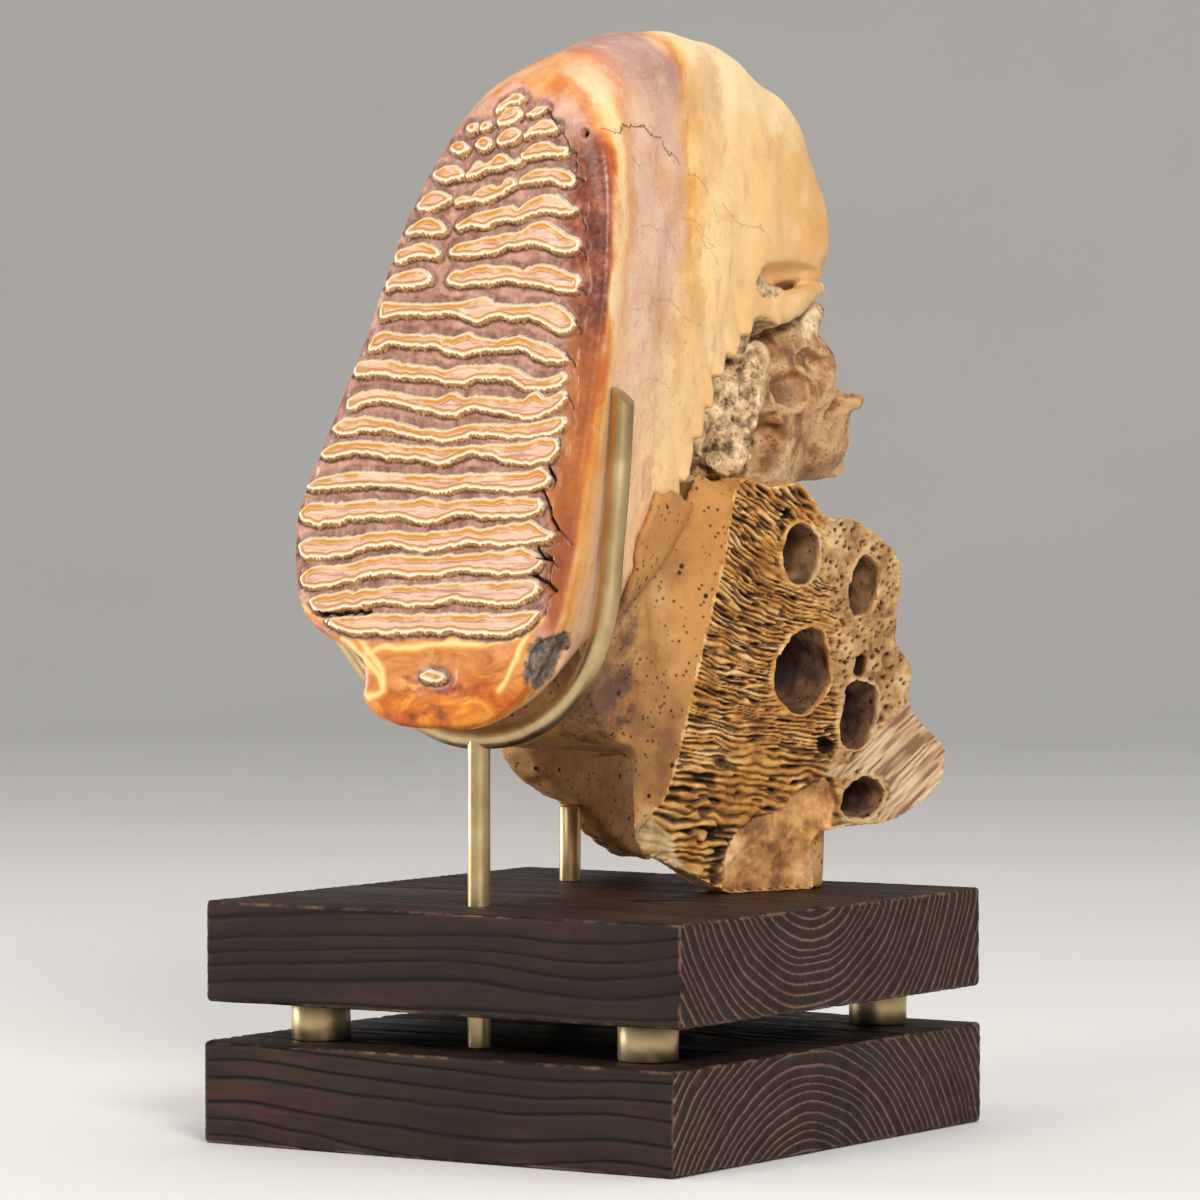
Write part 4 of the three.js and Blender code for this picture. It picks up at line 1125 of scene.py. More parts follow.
def crown_material():
    f = Finish("polished_tooth", Roughness=0.3, IOR=1.5)
    share_crown_sockets(f)
    side = flank_colour(f)
    face = plate_colour(f, margin_colour(f))
    bevel = f.ranged(f.across, 20, -20, 1.2, 9.0)
    on_side = f.ranged(f.math("SUBTRACT", f.depth, bevel), 0.0, 2.6)
    near_plates = f.ranged(f.plate, 5, 3)
    on_side = f.times(on_side, f.math("SUBTRACT", 1.0, near_plates))
    colour = f.mix(on_side, face, side)
    colour = f.mix(f.ranged(f.crack, 0.5, 0.08), colour, "2A160C")
    grey = f.ramp(f.blend(f.noise(260, 4, 0.65), f.fine),
                  [(0.36, "4A3826"), (0.44, "8C7050"), (0.52, "BC9E76"), (0.62, "DCC6A0")])
    colour = f.mix(f.ranged(f.shift(f.mark("past"), f.fine, 0.6), 0.5, -0.5), colour, grey)
    stuck = f.ranged(f.shift(f.mark("matrix"), f.middle, 2.5), 0.8, -0.6)
    colour = f.mix(
        stuck, colour, f.ramp(f.blend(f.middle, f.fine, 0.5),
        [(0.38, "2E251F"), (0.5, "6A5C50"), (0.62, "9A8A7A")])
    )
    band = f.times(f.ranged(f.warped, 12, 22), f.ranged(f.warped, 64, 52))
    cracked = crack_mask(f, band)
    colour = f.mix(cracked, colour, "5A3320")
    rough = f.mix(on_side, f.ranged(f.plate, 0.0, 0.8, 0.22, 0.36), f.ranged(f.depth, 2, 22, 0.12, 0.5))
    pits = f.times(f.ranged(f.fine, 0.36, 0.5), band)
    relief = f.plus(f.times(f.fine, f.ranged(f.depth, 4, 14, 0.15, 1.3)), f.times(pits, 0.5))
    relief = f.plus(
        relief, f.times(f.times(f.strokes, f.ranged(f.plate, -0.6, 0.1)),
        f.ranged(f.plate, 1.8, 1.1, 0, 1.6))
    )
    relief = f.plus(relief, f.times(cracked, -2.0))
    return f.done(colour, rough, f.bump(relief, 0.45, 0.3))


# Long cracks of the right flank: how dark each is, and its course as (depth, height up the face)
FLANK_CRACKS = [
    (0.9, [(4, 209.5), (10, 209), (14, 211.5), (24, 213.5), (40, 211), (47, 207.5), (55, 205)]),
    (0.35, [(56, 187), (66, 185.5), (73, 182), (80, 178)]),
    (0.3, [(66, 183), (76, 178), (84, 173.5)]),
    (0.28, [(40, 152), (52, 156), (66, 151), (78, 150)]),
    (0.35, [(60, 203), (72, 199), (80, 191)]),
    (0.35, [(84, 196), (96, 190), (108, 191), (120, 184)]),
    (0.3, [(22, 176), (34, 180), (50, 176), (58, 171)]),
    (0.3, [(30, 120), (44, 127), (60, 124)]),
]


# Tooth: roots

ROOT_SEARCH = {"low": (-34, 8, 214), "high": (66, 122, 308), "step": 1.15, "rounds": 2, "most": 0.5}
ROOT_LUMPS = [(6, 50, 254, 40, 42, 36), (20, 76, 268, 27, 28, 26), (24, 92, 256, 22, 19, 22)]
ROOT_HOLLOWS = [
    (50, 42, 247, 17, 12, 13), (50, 56, 266, 14, 12, 7), (62, 84, 254, 20, 17, 16),
    (56, 74, 278, 16, 15, 6), (45, 60, 289, 8, 9, 4.5), (46, 29, 262, 6, 3.5, 8), (40, 102, 272, 12, 11, 8)
]
ROOT_TIPS = [
    [(38, 92, 262, 8), (43, 96, 263, 6), (48, 98, 263.5, 4)], [(30, 100, 244, 9), (37, 104, 239, 3.5)],
    [(30, 96, 270, 8), (38, 96, 272, 3)], [(28, 70, 284, 8), (36, 78, 290, 6), (37, 88, 296, 4)],
    [(40, 22, 243, 9), (41, 31, 262, 7), (41, 40, 279, 6)]
]


def root_mass(p):
    d = np.full(len(p), 1e9)
    for place in ROOT_LUMPS:
        d = soft_min(d, lump_distance(p, place, 2.6), 3)
    return d


def root_hollow(p):
    """Distance to the nearest of the hollows between the roots' walls."""
    best = np.full(len(p), 1e9)
    for place in ROOT_HOLLOWS:
        best = np.minimum(best, lump_distance(p, place, 2.2))
    return best


def matrix_strip(p):
    """1 on the strip of porous matrix along the crown's edge, 0 elsewhere."""
    return (1 - smooth(p[:, 1], 30, 44)) * smooth(p[:, 0], 22, 34)


def root_field(p):
    d = root_mass(p)
    for tip in ROOT_TIPS:
        d = soft_min(d, chain(p, tip), 4)
    near = np.abs(d) < 24
    q = p[near]
    bent = q + 2.6 * np.stack([noise(q, 9, 61), noise(q, 9, 62), noise(q, 9, 63)], 1)
    bent += 0.9 * np.stack([noise(q, 3.4, 64), noise(q, 3.4, 65), noise(q, 3.4, 66)], 1)
    outside = d[near] - 1.1 * fractal(q, 7, 3, 67)
    out = np.maximum(outside, -root_hollow(bent))
    strip = matrix_strip(q)
    pit, _ = cells(q, 2.6, 71)
    out += 2.2 * strip * smooth(0.45 - pit, 0.0, 0.3) + 0.8 * strip * noise(q, (2.2, 2.2, 5), 73)
    d[near] = out
    return d


def build_roots():
    points, quads = surface_of(root_field, **ROOT_SEARCH)
    direction = normals_of(points, quads)
    marks = {
        "hollow": root_hollow(points), "deep": -root_mass(points), "strip": matrix_strip(points),
        "height": points[:, 2]
    }
    # Faces well inside the crown are never seen
    hidden = crown_plain(to_tooth(points)) < -4
    quads = quads[~hidden[quads].all(1)]
    make_piece("roots", points, quads, root_material(), marks, direction, ["molar"])


def root_material():
    f = Finish("broken_root", Roughness=0.75, IOR=1.5)
    hollow, strip, height, deep = f.mark("hollow"), f.mark("strip"), f.mark("height"), f.mark("deep")
    wide, middle, fine = f.noise(45, 4, 0.6), f.noise(160, 5, 0.65), f.noise(700, 4, 0.6)
    shell = f.ramp(
        f.shift(wide, middle, 0.12), [(0.3, "6E4A32"), (0.42, "94683F"), (0.52, "B98B5C"), (0.62, "CBAA80"),
        (0.75, "D9C2A0")]
    )
    # Inside the hollows the colour darkens, down to near black, the deeper it lies in the root mass: painted
    # shade.
    inside = f.ramp(
        f.shift(deep, wide, 2.5), [(0, "C9A172"), (2, "B58D64"), (4, "A47C56"), (7, "7E583A"),
        (10, "563820"), (14, "38220F")], 0, 14
    )
    colour = f.mix(f.ranged(hollow, 1.4, 0.2), shell, inside)
    edge = f.times(
        f.ranged(f.math("ABSOLUTE", hollow), 1.2, 0.2), f.ranged(f.noise(55, 4, 0.65), 0.5, 0.62)
    )
    colour = f.mix(f.times(edge, 0.75), colour, "C07A3A")
    grey = f.ramp(middle, [(0.36, "4E3C28"), (0.44, "9C7E58"), (0.52, "CCAC82"), (0.64, "EED6AC")])
    colour = f.mix(f.math("MAXIMUM", strip, f.ranged(f.shift(height, wide, 8), 284, 292)), colour, grey)
    pits = f.voronoi(520)
    colour = f.mix(f.ranged(pits, 0.28, 0.12, 0, 0.6), colour, "4A3220")
    height = f.plus(middle, f.times(f.ranged(pits, 0.1, 0.4), 0.6))
    return f.done(
        colour, f.ranged(middle, 0.3, 0.7, 0.6, 0.85), f.bump(f.plus(height, f.times(fine, 0.4)), 0.7, 0.5)
    )


# Jaw bone

JAW_SEARCH = {"low": (-64, -60, 84), "high": (84, 112, 244), "step": 1.5, "rounds": 2, "most": 0.6}
# The plane of the saw's cut: a point on it, the way it faces, and axes along it and up it
SAW_POINT = np.array([56, 6.5, 234.0])
SAW_HEADING, SAW_TILT = math.radians(70), math.radians(8)
SAW_OUT = np.array(
    [math.sin(SAW_HEADING) * math.cos(SAW_TILT), -math.cos(SAW_HEADING) * math.cos(SAW_TILT),
    -math.sin(SAW_TILT)]
)
SAW_ALONG = np.array([math.cos(SAW_HEADING), math.sin(SAW_HEADING), 0])
SAW_UP = np.cross(SAW_OUT, SAW_ALONG)
SAWN_DEPTH = 66
SAWN_OUTLINE = [
    (0, 0), (-4, -28), (-8, -49), (-13.5, -80), (-18, -104), (-22, -114), (-33, -126), (-21, -139),
    (8, -152), (47, -152), (49, -130), (86, -125), (106, -112), (107, -100), (89, -84), (87, -68),
    (79, -58), (77, -29), (55, -14), (42, -13), (28, -1), (15, -2),
]
SOCKETS = [
    (31.4, -26.3, 8.5, 11, 26), (61.5, -38, 6.5, 11.5, 22), (37, -69, 12.5, 15.5, 30),
    (64.5, -86, 9, 13, 26), (70, -117, 10, 8, 22)
]
JAW_BODY, JAW_COLLAR = (1, 25, 186, 61, 71, 49), (35, -14, 196, 14, 46, 44)
JAW_SHIN, JAW_FOOT = (36, 3, 128, 13, 25, 40), (33, 55, 106, 19, 24, 36)
WALL_OUTLINE = [
    (-12, 158), (6, 147), (20, 128), (39, 118.5), (54, 113.5), (69, 102), (86, 94), (100, 91.5), (100, 190),
    (60, 208), (10, 202), (-14, 180),
]
GROOVE = ((47, -18, 86, 10), (60, -21, 262, 25))
STAIN = ((44, -42, 214, 7), (41, -40, 190, 9), (30, -42, 168, 14), (19, -40, 150, 12))
# A thin shell of bone laps over the crown's flank
LAP = [
    (-32, 230.5), (-36, 224), (-40.6, 216.6), (-43, 206), (-44.5, 195), (-43, 180), (-30, 170), (0, 170),
    (0, 225), (-10, 228), (-20, 231.5), (-26, 229)
]
# Parts of the sawn face, as outlines along it and up it
LEG = [(6, -156), (12, -134), (18, -124.5), (35, -116.5), (52.7, -107.7), (58, -118), (56, -156)]
CHUNK = [
    (52.7, -107.7), (62, -103.5), (75, -93), (84, -84), (92, -74), (114, -96), (112, -114), (90, -132),
    (79, -128.5), (84, -117.7), (79, -110), (67, -106.5), (58, -109)
]
SMALL_HOLES = [(62, -67.1, 2.8), (51.5, -97.4, 3.1), (14, -38, 1.2), (24.8, -12.5, 2.4)]
PALE = [(-38, -127), (-20, -136), (6, -158), (6, -151), (-10, -138), (-19, -127), (-24, -118), (-32, -116)]
ARCH = ((-7, -70, 104, 34), (-7, 130, 98, 34))

wall_table = Table(WALL_OUTLINE, (-80, 60), (170, 250))
sawn_table = Table(smooth_loop(SAWN_OUTLINE, 2.5), (-90, -200), (170, 40))


def to_saw(p):
    q = p - SAW_POINT
    return np.stack([q @ SAW_ALONG, q @ SAW_UP, q @ SAW_OUT], 1)


def plane(p, point, outward):
    outward = np.array(outward, float)
    return (p - np.array(point, float)) @ (outward / np.linalg.norm(outward))


def sawn_block(s):
    pull = 0.3 * clamp(-s[:, 2] / SAWN_DEPTH) ** 1.6
    side = sawn_table((s[:, 0] - 40 * pull) / (1 - pull), (s[:, 1] + 80 * pull) / (1 - pull)) * (1 - pull)
    return soft_max(side, -s[:, 2] - SAWN_DEPTH, 5)


def socket_distance(s, q):
    """Distance to the nearest socket in the sawn face."""
    best = np.full(len(s), 1e9)
    for k, (a, b, wide, tall, deep) in enumerate(SOCKETS):
        bent = s[:, :2] + 1.5 * np.stack([noise(q, 8, 81 + k), noise(q, 8, 91 + k)], 1)
        bent += 0.55 * np.stack([noise(q, 2.8, 181 + k), noise(q, 2.8, 191 + k)], 1)
        place = np.concatenate([bent, s[:, 2:]], 1)
        best = np.minimum(best, lump_distance(place, (a, b, 0, wide, tall, deep), 2.1))
    return best


def jaw_field(p):
    s = to_saw(p)
    d = lump_distance(p, JAW_BODY, 4)
    d = soft_min(d, lump_distance(p, JAW_COLLAR, 3), 5)
    d = soft_min(d, lump_distance(p, JAW_SHIN, 3), 7)
    d = soft_min(d, lump_distance(p, JAW_FOOT, 4), 5)
    torn = 1.5 * fractal(p, (7, 7, 7), 3, 107)
    wall = soft_max(wall_table(p[:, 1], p[:, 2]) + torn, np.abs(p[:, 0] + 45.75) - 7.25, 2.5)
    d = soft_min(d, wall, 3)
    d = soft_max(
        d, plane(p, (56, 6.5, 236), (-0.1, 0.38, 0.92)) + 1.8 * noise(p, 9, 101) + 0.9 * noise(p, 3.5, 102),
        1.5
    )
    d = soft_min(d, sawn_block(s), 5)
    d = soft_max(d, -chain(p, GROOVE), 4)
    d = soft_max(d, -chain(p, ARCH), 4)
    d = soft_max(d, plane(p, (27, -20, 105), (-0.118, -0.353, -0.928)), 0.8)
    near = np.abs(d) < 6
    d[near] -= 0.7 * fractal(p[near], (16, 16, 26), 3, 103)
    d = np.maximum(d, s[:, 2])
    crown = crown_plain(to_tooth(p))
    ragged = np.stack([noise(p, 6, 105), noise(p, 6, 106)], 1) * 1.8
    lap = np.maximum(
        outline_distance(LAP, p[:, 1] + ragged[:, 0], p[:, 2] + ragged[:, 1]),
        np.maximum(crown - 3.4, 20 - p[:, 0])
    )
    d = soft_min(d, lap, 1.5)
    near = (d < 3) & (s[:, 2] > -36)
    d[near] = np.maximum(d[near], -socket_distance(s[near], p[near]))
    d = np.maximum(d, 86.2 - p[:, 2])
    slot = np.maximum(np.maximum(np.abs(p[:, 0] + 51) - 9.3, np.abs(p[:, 1] - 51) - 4.3), p[:, 2] - 113.8)
    d = np.maximum(d, -slot)
    d = np.maximum(d, 0.6 - crown)
    return np.maximum(d, 0.6 - root_mass(p))


def sheets(a, b, apart, long, seed):
    """Wavy sheets of bone lying over each other, with narrow gaps, broken here and there."""
    lying = np.stack([a, b, 0 * a], 1)
    phase = (
        b / apart + 0.55 * noise(lying, (long, 2.2 * apart, 9), seed) + 0.22
        * noise(lying, (long / 3, apart, 9), seed + 1)
    )
    gap = (1 - np.abs(np.sin(np.pi * phase))) ** 1.25
    broken = smooth(noise(lying, (long / 2.2, 0.6 * apart, 9), seed + 2), 0.22, 0.6)
    return gap, broken, noise(lying, (long, 0.9 * apart, 9), seed + 3)


def sawn_texture(s, p):
    """How deep the sawn bone lies under the cut, and marks for its parts.

    It has slanting leaves of bone, sponge, coarse layers, a striped chunk and a smooth leg.
    """
    level = np.stack([s[:, 0], s[:, 1], 0 * s[:, 0]], 1)
    turn = -math.radians(6) - math.radians(26) * smooth(s[:, 1] - 0.4 * s[:, 0], -125, -25)
    bow = np.stack([noise(level, 11, 111), noise(level, 9, 112)], 1)
    a = s[:, 0] * np.cos(turn) + s[:, 1] * np.sin(turn) + 0.9 * bow[:, 0]
    b = -s[:, 0] * np.sin(turn) + s[:, 1] * np.cos(turn) + 0.9 * bow[:, 1]
    leaf_gap, leaf_broken, own = sheets(a, b, 2.0, 8, 113)
    layer_gap, layer_broken, layer_own = sheets(a, b, 3.3, 11, 213)
    web, _ = cells(level, (2.7, 2.3, 9), 115)
    warp = level + 2.2 * np.stack([noise(level, 8, 116), noise(level, 8, 117), 0 * a], 1)
    leg = smooth(-outline_distance(LEG, warp[:, 0], warp[:, 1]), -0.6, 0.8)
    chunk = smooth(-outline_distance(CHUNK, warp[:, 0], warp[:, 1]), -0.6, 0.8)
    pale = smooth(-outline_distance(PALE, warp[:, 0], warp[:, 1]), -1.0, 1.5)
    sponge = smooth(warp[:, 0] + 0.25 * warp[:, 1] + 9 * fractal(level, 13, 2, 118), 26, 38) * (1 - chunk)
    coarse = smooth(-warp[:, 1] + 6 * fractal(level, 12, 2, 119), 92, 106)
    leaves = 2.2 * leaf_gap + 1.5 * leaf_broken + 0.6 * own
    layers = 2.0 * layer_gap + 1.7 * layer_broken + 1.1 * layer_own + 0.3
    spongy = 2.1 * (1 - smooth(web, 0.16, 0.4)) + 0.9 * smooth(fractal(level, 4, 2, 120), 0.0, 0.5)
    depth = leaves * (1 - coarse) + layers * coarse
    depth = depth * (1 - sponge) + spongy * sponge
    depth += 0.5 + 0.6 * fractal(p, 6, 2, 121)
    own = own * (1 - coarse) + layer_own * coarse
    stripe = noise(
        np.stack([(s[:, 0] * 0.77 + s[:, 1] * 0.64) / 9, (s[:, 1] * 0.77 - s[:, 0] * 0.64) / 0.95, 0 * a],
        1), 1.0, 122
    )
    depth = depth * (1 - chunk) + chunk * (1.0 + 0.45 * stripe + 0.8 * fractal(level, 9, 2, 123))
    depth = depth * (1 - 0.7 * pale)
    depth = depth * (1 - leg) + leg * (3.2 + 1.9 * fractal(level, 10, 4, 124))
    for hole_a, hole_b, size in SMALL_HOLES:
        depth += 6 * (1 - smooth(np.hypot(warp[:, 0] - hole_a, warp[:, 1] - hole_b), size - 0.9, size))
    marks = {"sponge": sponge, "leg": leg, "chunk": chunk, "pale": pale, "stripe": stripe, "leaf": own}
    return depth, marks


def build_jaw():
    points, quads = surface_of(jaw_field, **JAW_SEARCH)
    middle = to_saw(points[quads].mean(1))
    facing = (
        np.cross(points[quads[:, 2]] - points[quads[:, 0]],
        points[quads[:, 3]] - points[quads[:, 1]]) @ SAW_OUT
    )
    on_cut = (np.abs(middle[:, 2]) < 0.9) & (facing > 0) & (sawn_table(middle[:, 0], middle[:, 1]) < 1.2)
    fine, small = split_quads(points, quads, on_cut, 3)
    edge = rim_points(small, len(fine))
    s = to_saw(fine)
    sockets = socket_distance(s, fine)
    depth, textures = sawn_texture(s, fine)
    depth *= smooth(sockets, 0.2, 2.0)
    fade = smooth(-sawn_table(s[:, 0], s[:, 1]), 0.3, 1.6)
    depth *= 0.25 + 0.75 * fade
    depth[edge] = 0
    fine = fine - depth[:, None] * SAW_OUT
    whole = np.concatenate([points, fine])
    rest = quads[~on_cut]
    cut = small + len(points)
    direction = joined_normals(whole, np.concatenate([rest, cut]), whole)
    s_all = to_saw(whole)
    marks = {
        "stain": chain(whole, STAIN), "socket": socket_distance(s_all, whole), "behind": -s_all[:, 2],
        "right": whole[:, 0], "height": whole[:, 2],
    }
    for key, value in {"sawn": np.ones(len(fine)), "sunk": depth, **textures}.items():
        marks[key] = np.concatenate([np.zeros(len(points)), value])
    for name, part in (("jaw_bone_cut", cut), ("jaw_bone_body", rest)):
        make_piece(name, whole, part, bone_material(), marks, direction, ["jaw_bone"])


def bone_material():
    f = Finish("fossil_bone", Roughness=0.75, IOR=1.45)
    sawn, sunk, socket, leaf = f.mark("sawn"), f.mark("sunk"), f.mark("socket"), f.mark("leaf")
    behind, height, right = f.mark("behind"), f.mark("height"), f.mark("right")
    sponge, leg, chunk = f.mark("sponge"), f.mark("leg"), f.mark("chunk")
    pale, stripe = f.mark("pale"), f.mark("stripe")
    wide, middle, fine = f.noise(30, 5, 0.6), f.noise(130, 5, 0.65), f.noise(650, 4, 0.6)
    grain = f.shift(wide, middle, 0.1)
    shell = f.ramp(
        grain, [(0.28, "764A2A"), (0.4, "8F6136"), (0.5, "A4743F"), (0.6, "B48550"), (0.74, "C59A68")]
    )
    stain = f.ranged(f.shift(f.noise(34, 5, 0.65), fine, 0.06), 0.4, 0.62)
    zone = f.ranged(f.shift(f.mark("stain"), middle, 6), 4, -5)
    shell = f.mix(f.times(f.plus(0.3, f.times(stain, 0.6)), zone), shell,
                  f.ramp(middle, [(0.35, "463026"), (0.5, "5E4234"), (0.65, "785644")]))
    smooth_bone = f.ramp(
        f.shift(grain, f.noise(75, 5, 0.7), 0.16), [(0.3, "8E6038"), (0.42, "C28A50"), (0.53, "DEA96C"),
        (0.64, "EEC290"), (0.76, "F8DAB0")]
    )
    shell = f.mix(f.times(f.ranged(height, 128, 112), f.ranged(right, 20, 34)), shell, smooth_bone)
    shell = f.mix(f.ranged(f.shift(right, wide, 3), 36, 44, 0, 0.6), shell, "C98F4C")
    # The left wall, which the lamps leave in shade, is painted paler: painted light.
    shell = f.mix(
        f.ranged(right, -25, -36, 0, 0.9), shell, f.ramp(grain,
        [(0.3, "BE8850"), (0.5, "E2AE74"), (0.7, "F4CE9C")])
    )
    cut = f.ramp(
        f.plus(middle, f.plus(f.ranged(wide, 0.3, 0.7, -0.1, 0.1, False),
        f.ranged(leaf, -0.7, 0.7, -0.1, 0.1, False))), [(0.3, "A06A30"), (0.44, "C48B43"), (0.55, "D7A65E"),
        (0.7, "E8C690")]
    )
    porous = f.ramp(middle, [(0.35, "7E5C3C"), (0.5, "A6825A"), (0.65, "C9A87E")])
    cut = f.mix(f.times(sponge, 0.7), cut, porous)
    # The sawn face turns dark brown, then near black, where it is sunk deeper between its leaves and in its
    # holes: painted shade.
    cut = f.mix(f.ranged(sunk, 0.9, 2.0, 0, 0.9), cut, "6A451F")
    cut = f.mix(f.ranged(sunk, 1.8, 3.4), cut, "2A190E")
    cut = f.mix(
        chunk, cut, f.ramp(stripe, [(-0.6, "8A6448"), (-0.2, "B08C6A"), (0.1, "C4A27C"), (0.5, "D6BC98")],
        -1, 1)
    )
    cut = f.mix(pale, cut, f.ramp(middle, [(0.35, "9C7C50"), (0.5, "C0A070"), (0.65, "D8C094")]))
    cut = f.mix(leg, cut, smooth_bone)
    colour = f.mix(sawn, shell, cut)
    rim = f.times(f.ranged(socket, 1.9, 0.5), f.ranged(behind, 5.0, 1.0))
    colour = f.mix(f.times(rim, f.ranged(wide, 0.44, 0.58, 0, 0.65)), colour, "CFAE82")
    # Socket walls are painted dark, darker the further behind the cut they lie: painted shade.
    inner = f.ramp(f.plus(f.noise(70, 4, 0.6), f.ranged(behind, 2, 24, 0.12, -0.12, False)),
                   [(0.34, "2E1C12"), (0.46, "4A3020"), (0.56, "6A4A32"), (0.68, "94704C")])
    colour = f.mix(f.times(f.ranged(socket, 1.0, 0.3), f.ranged(behind, 0.8, 3.2)), colour, inner)
    pits = f.voronoi(330)
    few = f.ranged(f.noise(60, 2, 0.5), 0.34, 0.5)
    rest = f.math("SUBTRACT", 1.0, sawn)
    dots = f.times(f.ranged(pits, 0.24, 0.12), rest)
    dots = f.times(dots, few)
    large = f.times(f.ranged(f.voronoi(120), 0.13, 0.08), rest)
    dots = f.math("MAXIMUM", f.times(dots, 0.75), large)
    colour = f.mix(dots, colour, "2E1A0E")
    relief = f.plus(f.times(middle, 0.7), f.times(fine, 0.45))
    relief = f.math("SUBTRACT", relief, f.times(dots, 1.4))
    return f.done(colour, f.ranged(middle, 0.3, 0.7, 0.62, 0.85), f.bump(relief, 0.75, 0.55))


# Boards


# Each board's size, the tree's pith as (depth, height), and the grid of points on each pair of its faces
LOWER_BOARD = {
    "wide": 198, "deep": 210, "low": 0, "high": 36.5, "pith": (-18, -34), "seed": 201,
    "counts": [(250, 50), (50, 90), (60, 110)],
}
UPPER_BOARD = {
    "wide": 200, "deep": 204.5, "low": 50, "high": 86, "pith": (-18, 112), "seed": 211,
    "counts": [(250, 50), (50, 90), (90, 250)],
}
# Width of one year's ring
RING = 3.8


def ring_radius(p, board):
    """Distance from the pith, wavering along the grain."""
    y, z = board["pith"]
    seed = board["seed"]
    y = y + 5 * noise(p * [1, 0, 0], (90, 1, 1), seed) + 0.03 * p[:, 0]
    z = z + 3 * noise(p * [1, 0, 0], (70, 1, 1), seed + 1)
    r = np.hypot(p[:, 1] - y, (p[:, 2] - z) * 1.12)
    return r + 1.1 * noise(p, (60, 16, 16), seed + 2) + 0.22 * noise(p, (16, 5, 5), seed + 3)


def rounded_box(wide, deep, low, high, counts, round_off=1.8):
    """A box with rounded edges as one mesh of quads, with a grid of counts on its sides."""
    half = np.array([wide / 2, deep / 2, (high - low) / 2])
    centre = np.array([0, 0, (high + low) / 2])
    points, quads, start = [], [], 0

    def spread(n, size):
        inner = np.linspace(-size + round_off, size - round_off, n + 1)
        corner = [0.25, 0.55, 0.8]
        left = [-size] + [-size + round_off * c for c in corner]
        return np.concatenate([left, inner, [-v for v in left[::-1]]])

    for axis in range(3):
        a, b = [(1, 2), (2, 0), (0, 1)][axis]
        for sign in (1, -1):
            s, t = spread(counts[axis][0], half[a]), spread(counts[axis][1], half[b])
            grid = np.zeros((len(s), len(t), 3))
            grid[..., a], grid[..., b] = np.meshgrid(s, t, indexing="ij")
            grid[..., axis] = sign * half[axis]
            n, m = len(s), len(t)
            i, j = np.meshgrid(np.arange(n - 1), np.arange(m - 1), indexing="ij")
            k = (i * m + j).ravel() + start
            q = np.stack([k, k + m, k + m + 1, k + 1], 1)
            quads.append(q if sign > 0 else q[:, ::-1])
            points.append(grid.reshape(-1, 3))
            start += n * m
    p, q = np.concatenate(points), np.concatenate(quads)
    inner = np.clip(p, -half + round_off, half - round_off)
    away = p - inner
    length = np.linalg.norm(away, axis=1)
    p = np.where(length[:, None] > 1e-9, inner + away / np.maximum(length, 1e-9)[:, None] * round_off, p)
    return p + centre, q


def build_board(node, board):
    points, quads = rounded_box(board["wide"], board["deep"], board["low"], board["high"], board["counts"])
    direction = joined_normals(points, quads, points)
    r = ring_radius(points, board)
    year = r / RING + 0.35 * noise(np.stack([r, 0 * r, 0 * r], 1), (9, 1, 1), board["seed"] + 5)
    part = year - np.floor(year)
    # Brushing leaves the hard late wood of each year standing, and grooves along it on the long faces
    late = smooth(part, 0.35, 0.88) * (1 - smooth(part, 0.9, 1.0))
    groove = smooth(part, 0.68, 0.9) * (1 - smooth(part, 0.92, 1.0))
    end = smooth(np.abs(direction[:, 0]), 0.5, 0.9)
    fibres = noise(points, (30, 0.9, 0.9), board["seed"] + 7)
    rough = 0.1 * noise(points, (2.2, 2.2, 2.2), board["seed"] + 8)
    height = -0.5 * (1 - end) * groove - 0.35 * end * (1 - late) + (1 - end) * 0.14 * fibres + 0.6 * rough
    moved = points + direction * (height - 0.05)[:, None]
    direction = joined_normals(points, quads, moved)
    marks = {"ring": year, "end": end, "edge": edge_distance(moved, board)}
    make_piece("wood_" + node, moved, quads, wood_material(), marks, direction, [node])


def edge_distance(p, board):
    """How near a point lies to one of the board's edges, in millimetres."""
    d = np.sort(np.stack([board["wide"] / 2 - np.abs(p[:, 0]), board["deep"] / 2 - np.abs(p[:, 1]),
                          np.minimum(p[:, 2] - board["low"], board["high"] - p[:, 2])], 1), 1)
    return d[:, 1]


def wood_material():
    f = Finish("charred_softwood", Roughness=0.5, IOR=1.3)
    end, edge = f.mark("end"), f.mark("edge")
    part = f.math("FRACT", f.mark("ring"))
    fibre = f.noise(120, 4, 0.6, f.stretch((0.06, 1, 1)))
    blotch = f.noise(18, 3, 0.6)
    fine = f.noise(500, 4, 0.6)
    late = f.times(f.ranged(part, 0.5, 0.85), f.ranged(part, 1.0, 0.92))
    line = f.times(f.ranged(part, 0.72, 0.88), f.ranged(part, 1.0, 0.94))
    long = f.ramp(
        f.shift(line, fibre, 0.3), [(0.0, "2B1D16"), (0.3, "231812"), (0.62, "1D130F"), (0.8, "0C0806"),
        (1.0, "080504")]
    )
    across = f.ramp(
        f.shift(late, fine, 0.25), [(0.0, "2A1B14"), (0.4, "321F17"), (0.7, "482F23"), (1.0, "785A48")]
    )
    red = f.times(
        f.ranged(f.noise(40, 4, 0.65, f.stretch((0.25, 1, 1))), 0.52, 0.68, 0, 0.6), f.ranged(line, 0.3, 0)
    )
    long = f.mix(red, long, "4A2C20")
    colour = f.mix(end, long, across)
    colour = f.mix(f.ranged(blotch, 0.4, 0.65, 0, 0.35), colour, "130C09")
    worn = f.times(f.ranged(edge, 1.6, 0.3), f.ranged(f.noise(60, 4, 0.7), 0.45, 0.62))
    colour = f.mix(f.times(worn, 0.75), colour, "8A6252")
    height = f.blend(fibre, fine)
    height = f.plus(height, f.times(late, f.ranged(end, 0.0, 1.0, -0.8, 0.9, False)))
    return f.done(colour, f.ranged(fibre, 0.35, 0.65, 0.45, 0.62), f.bump(height, 0.5, 0.3))


# Brass

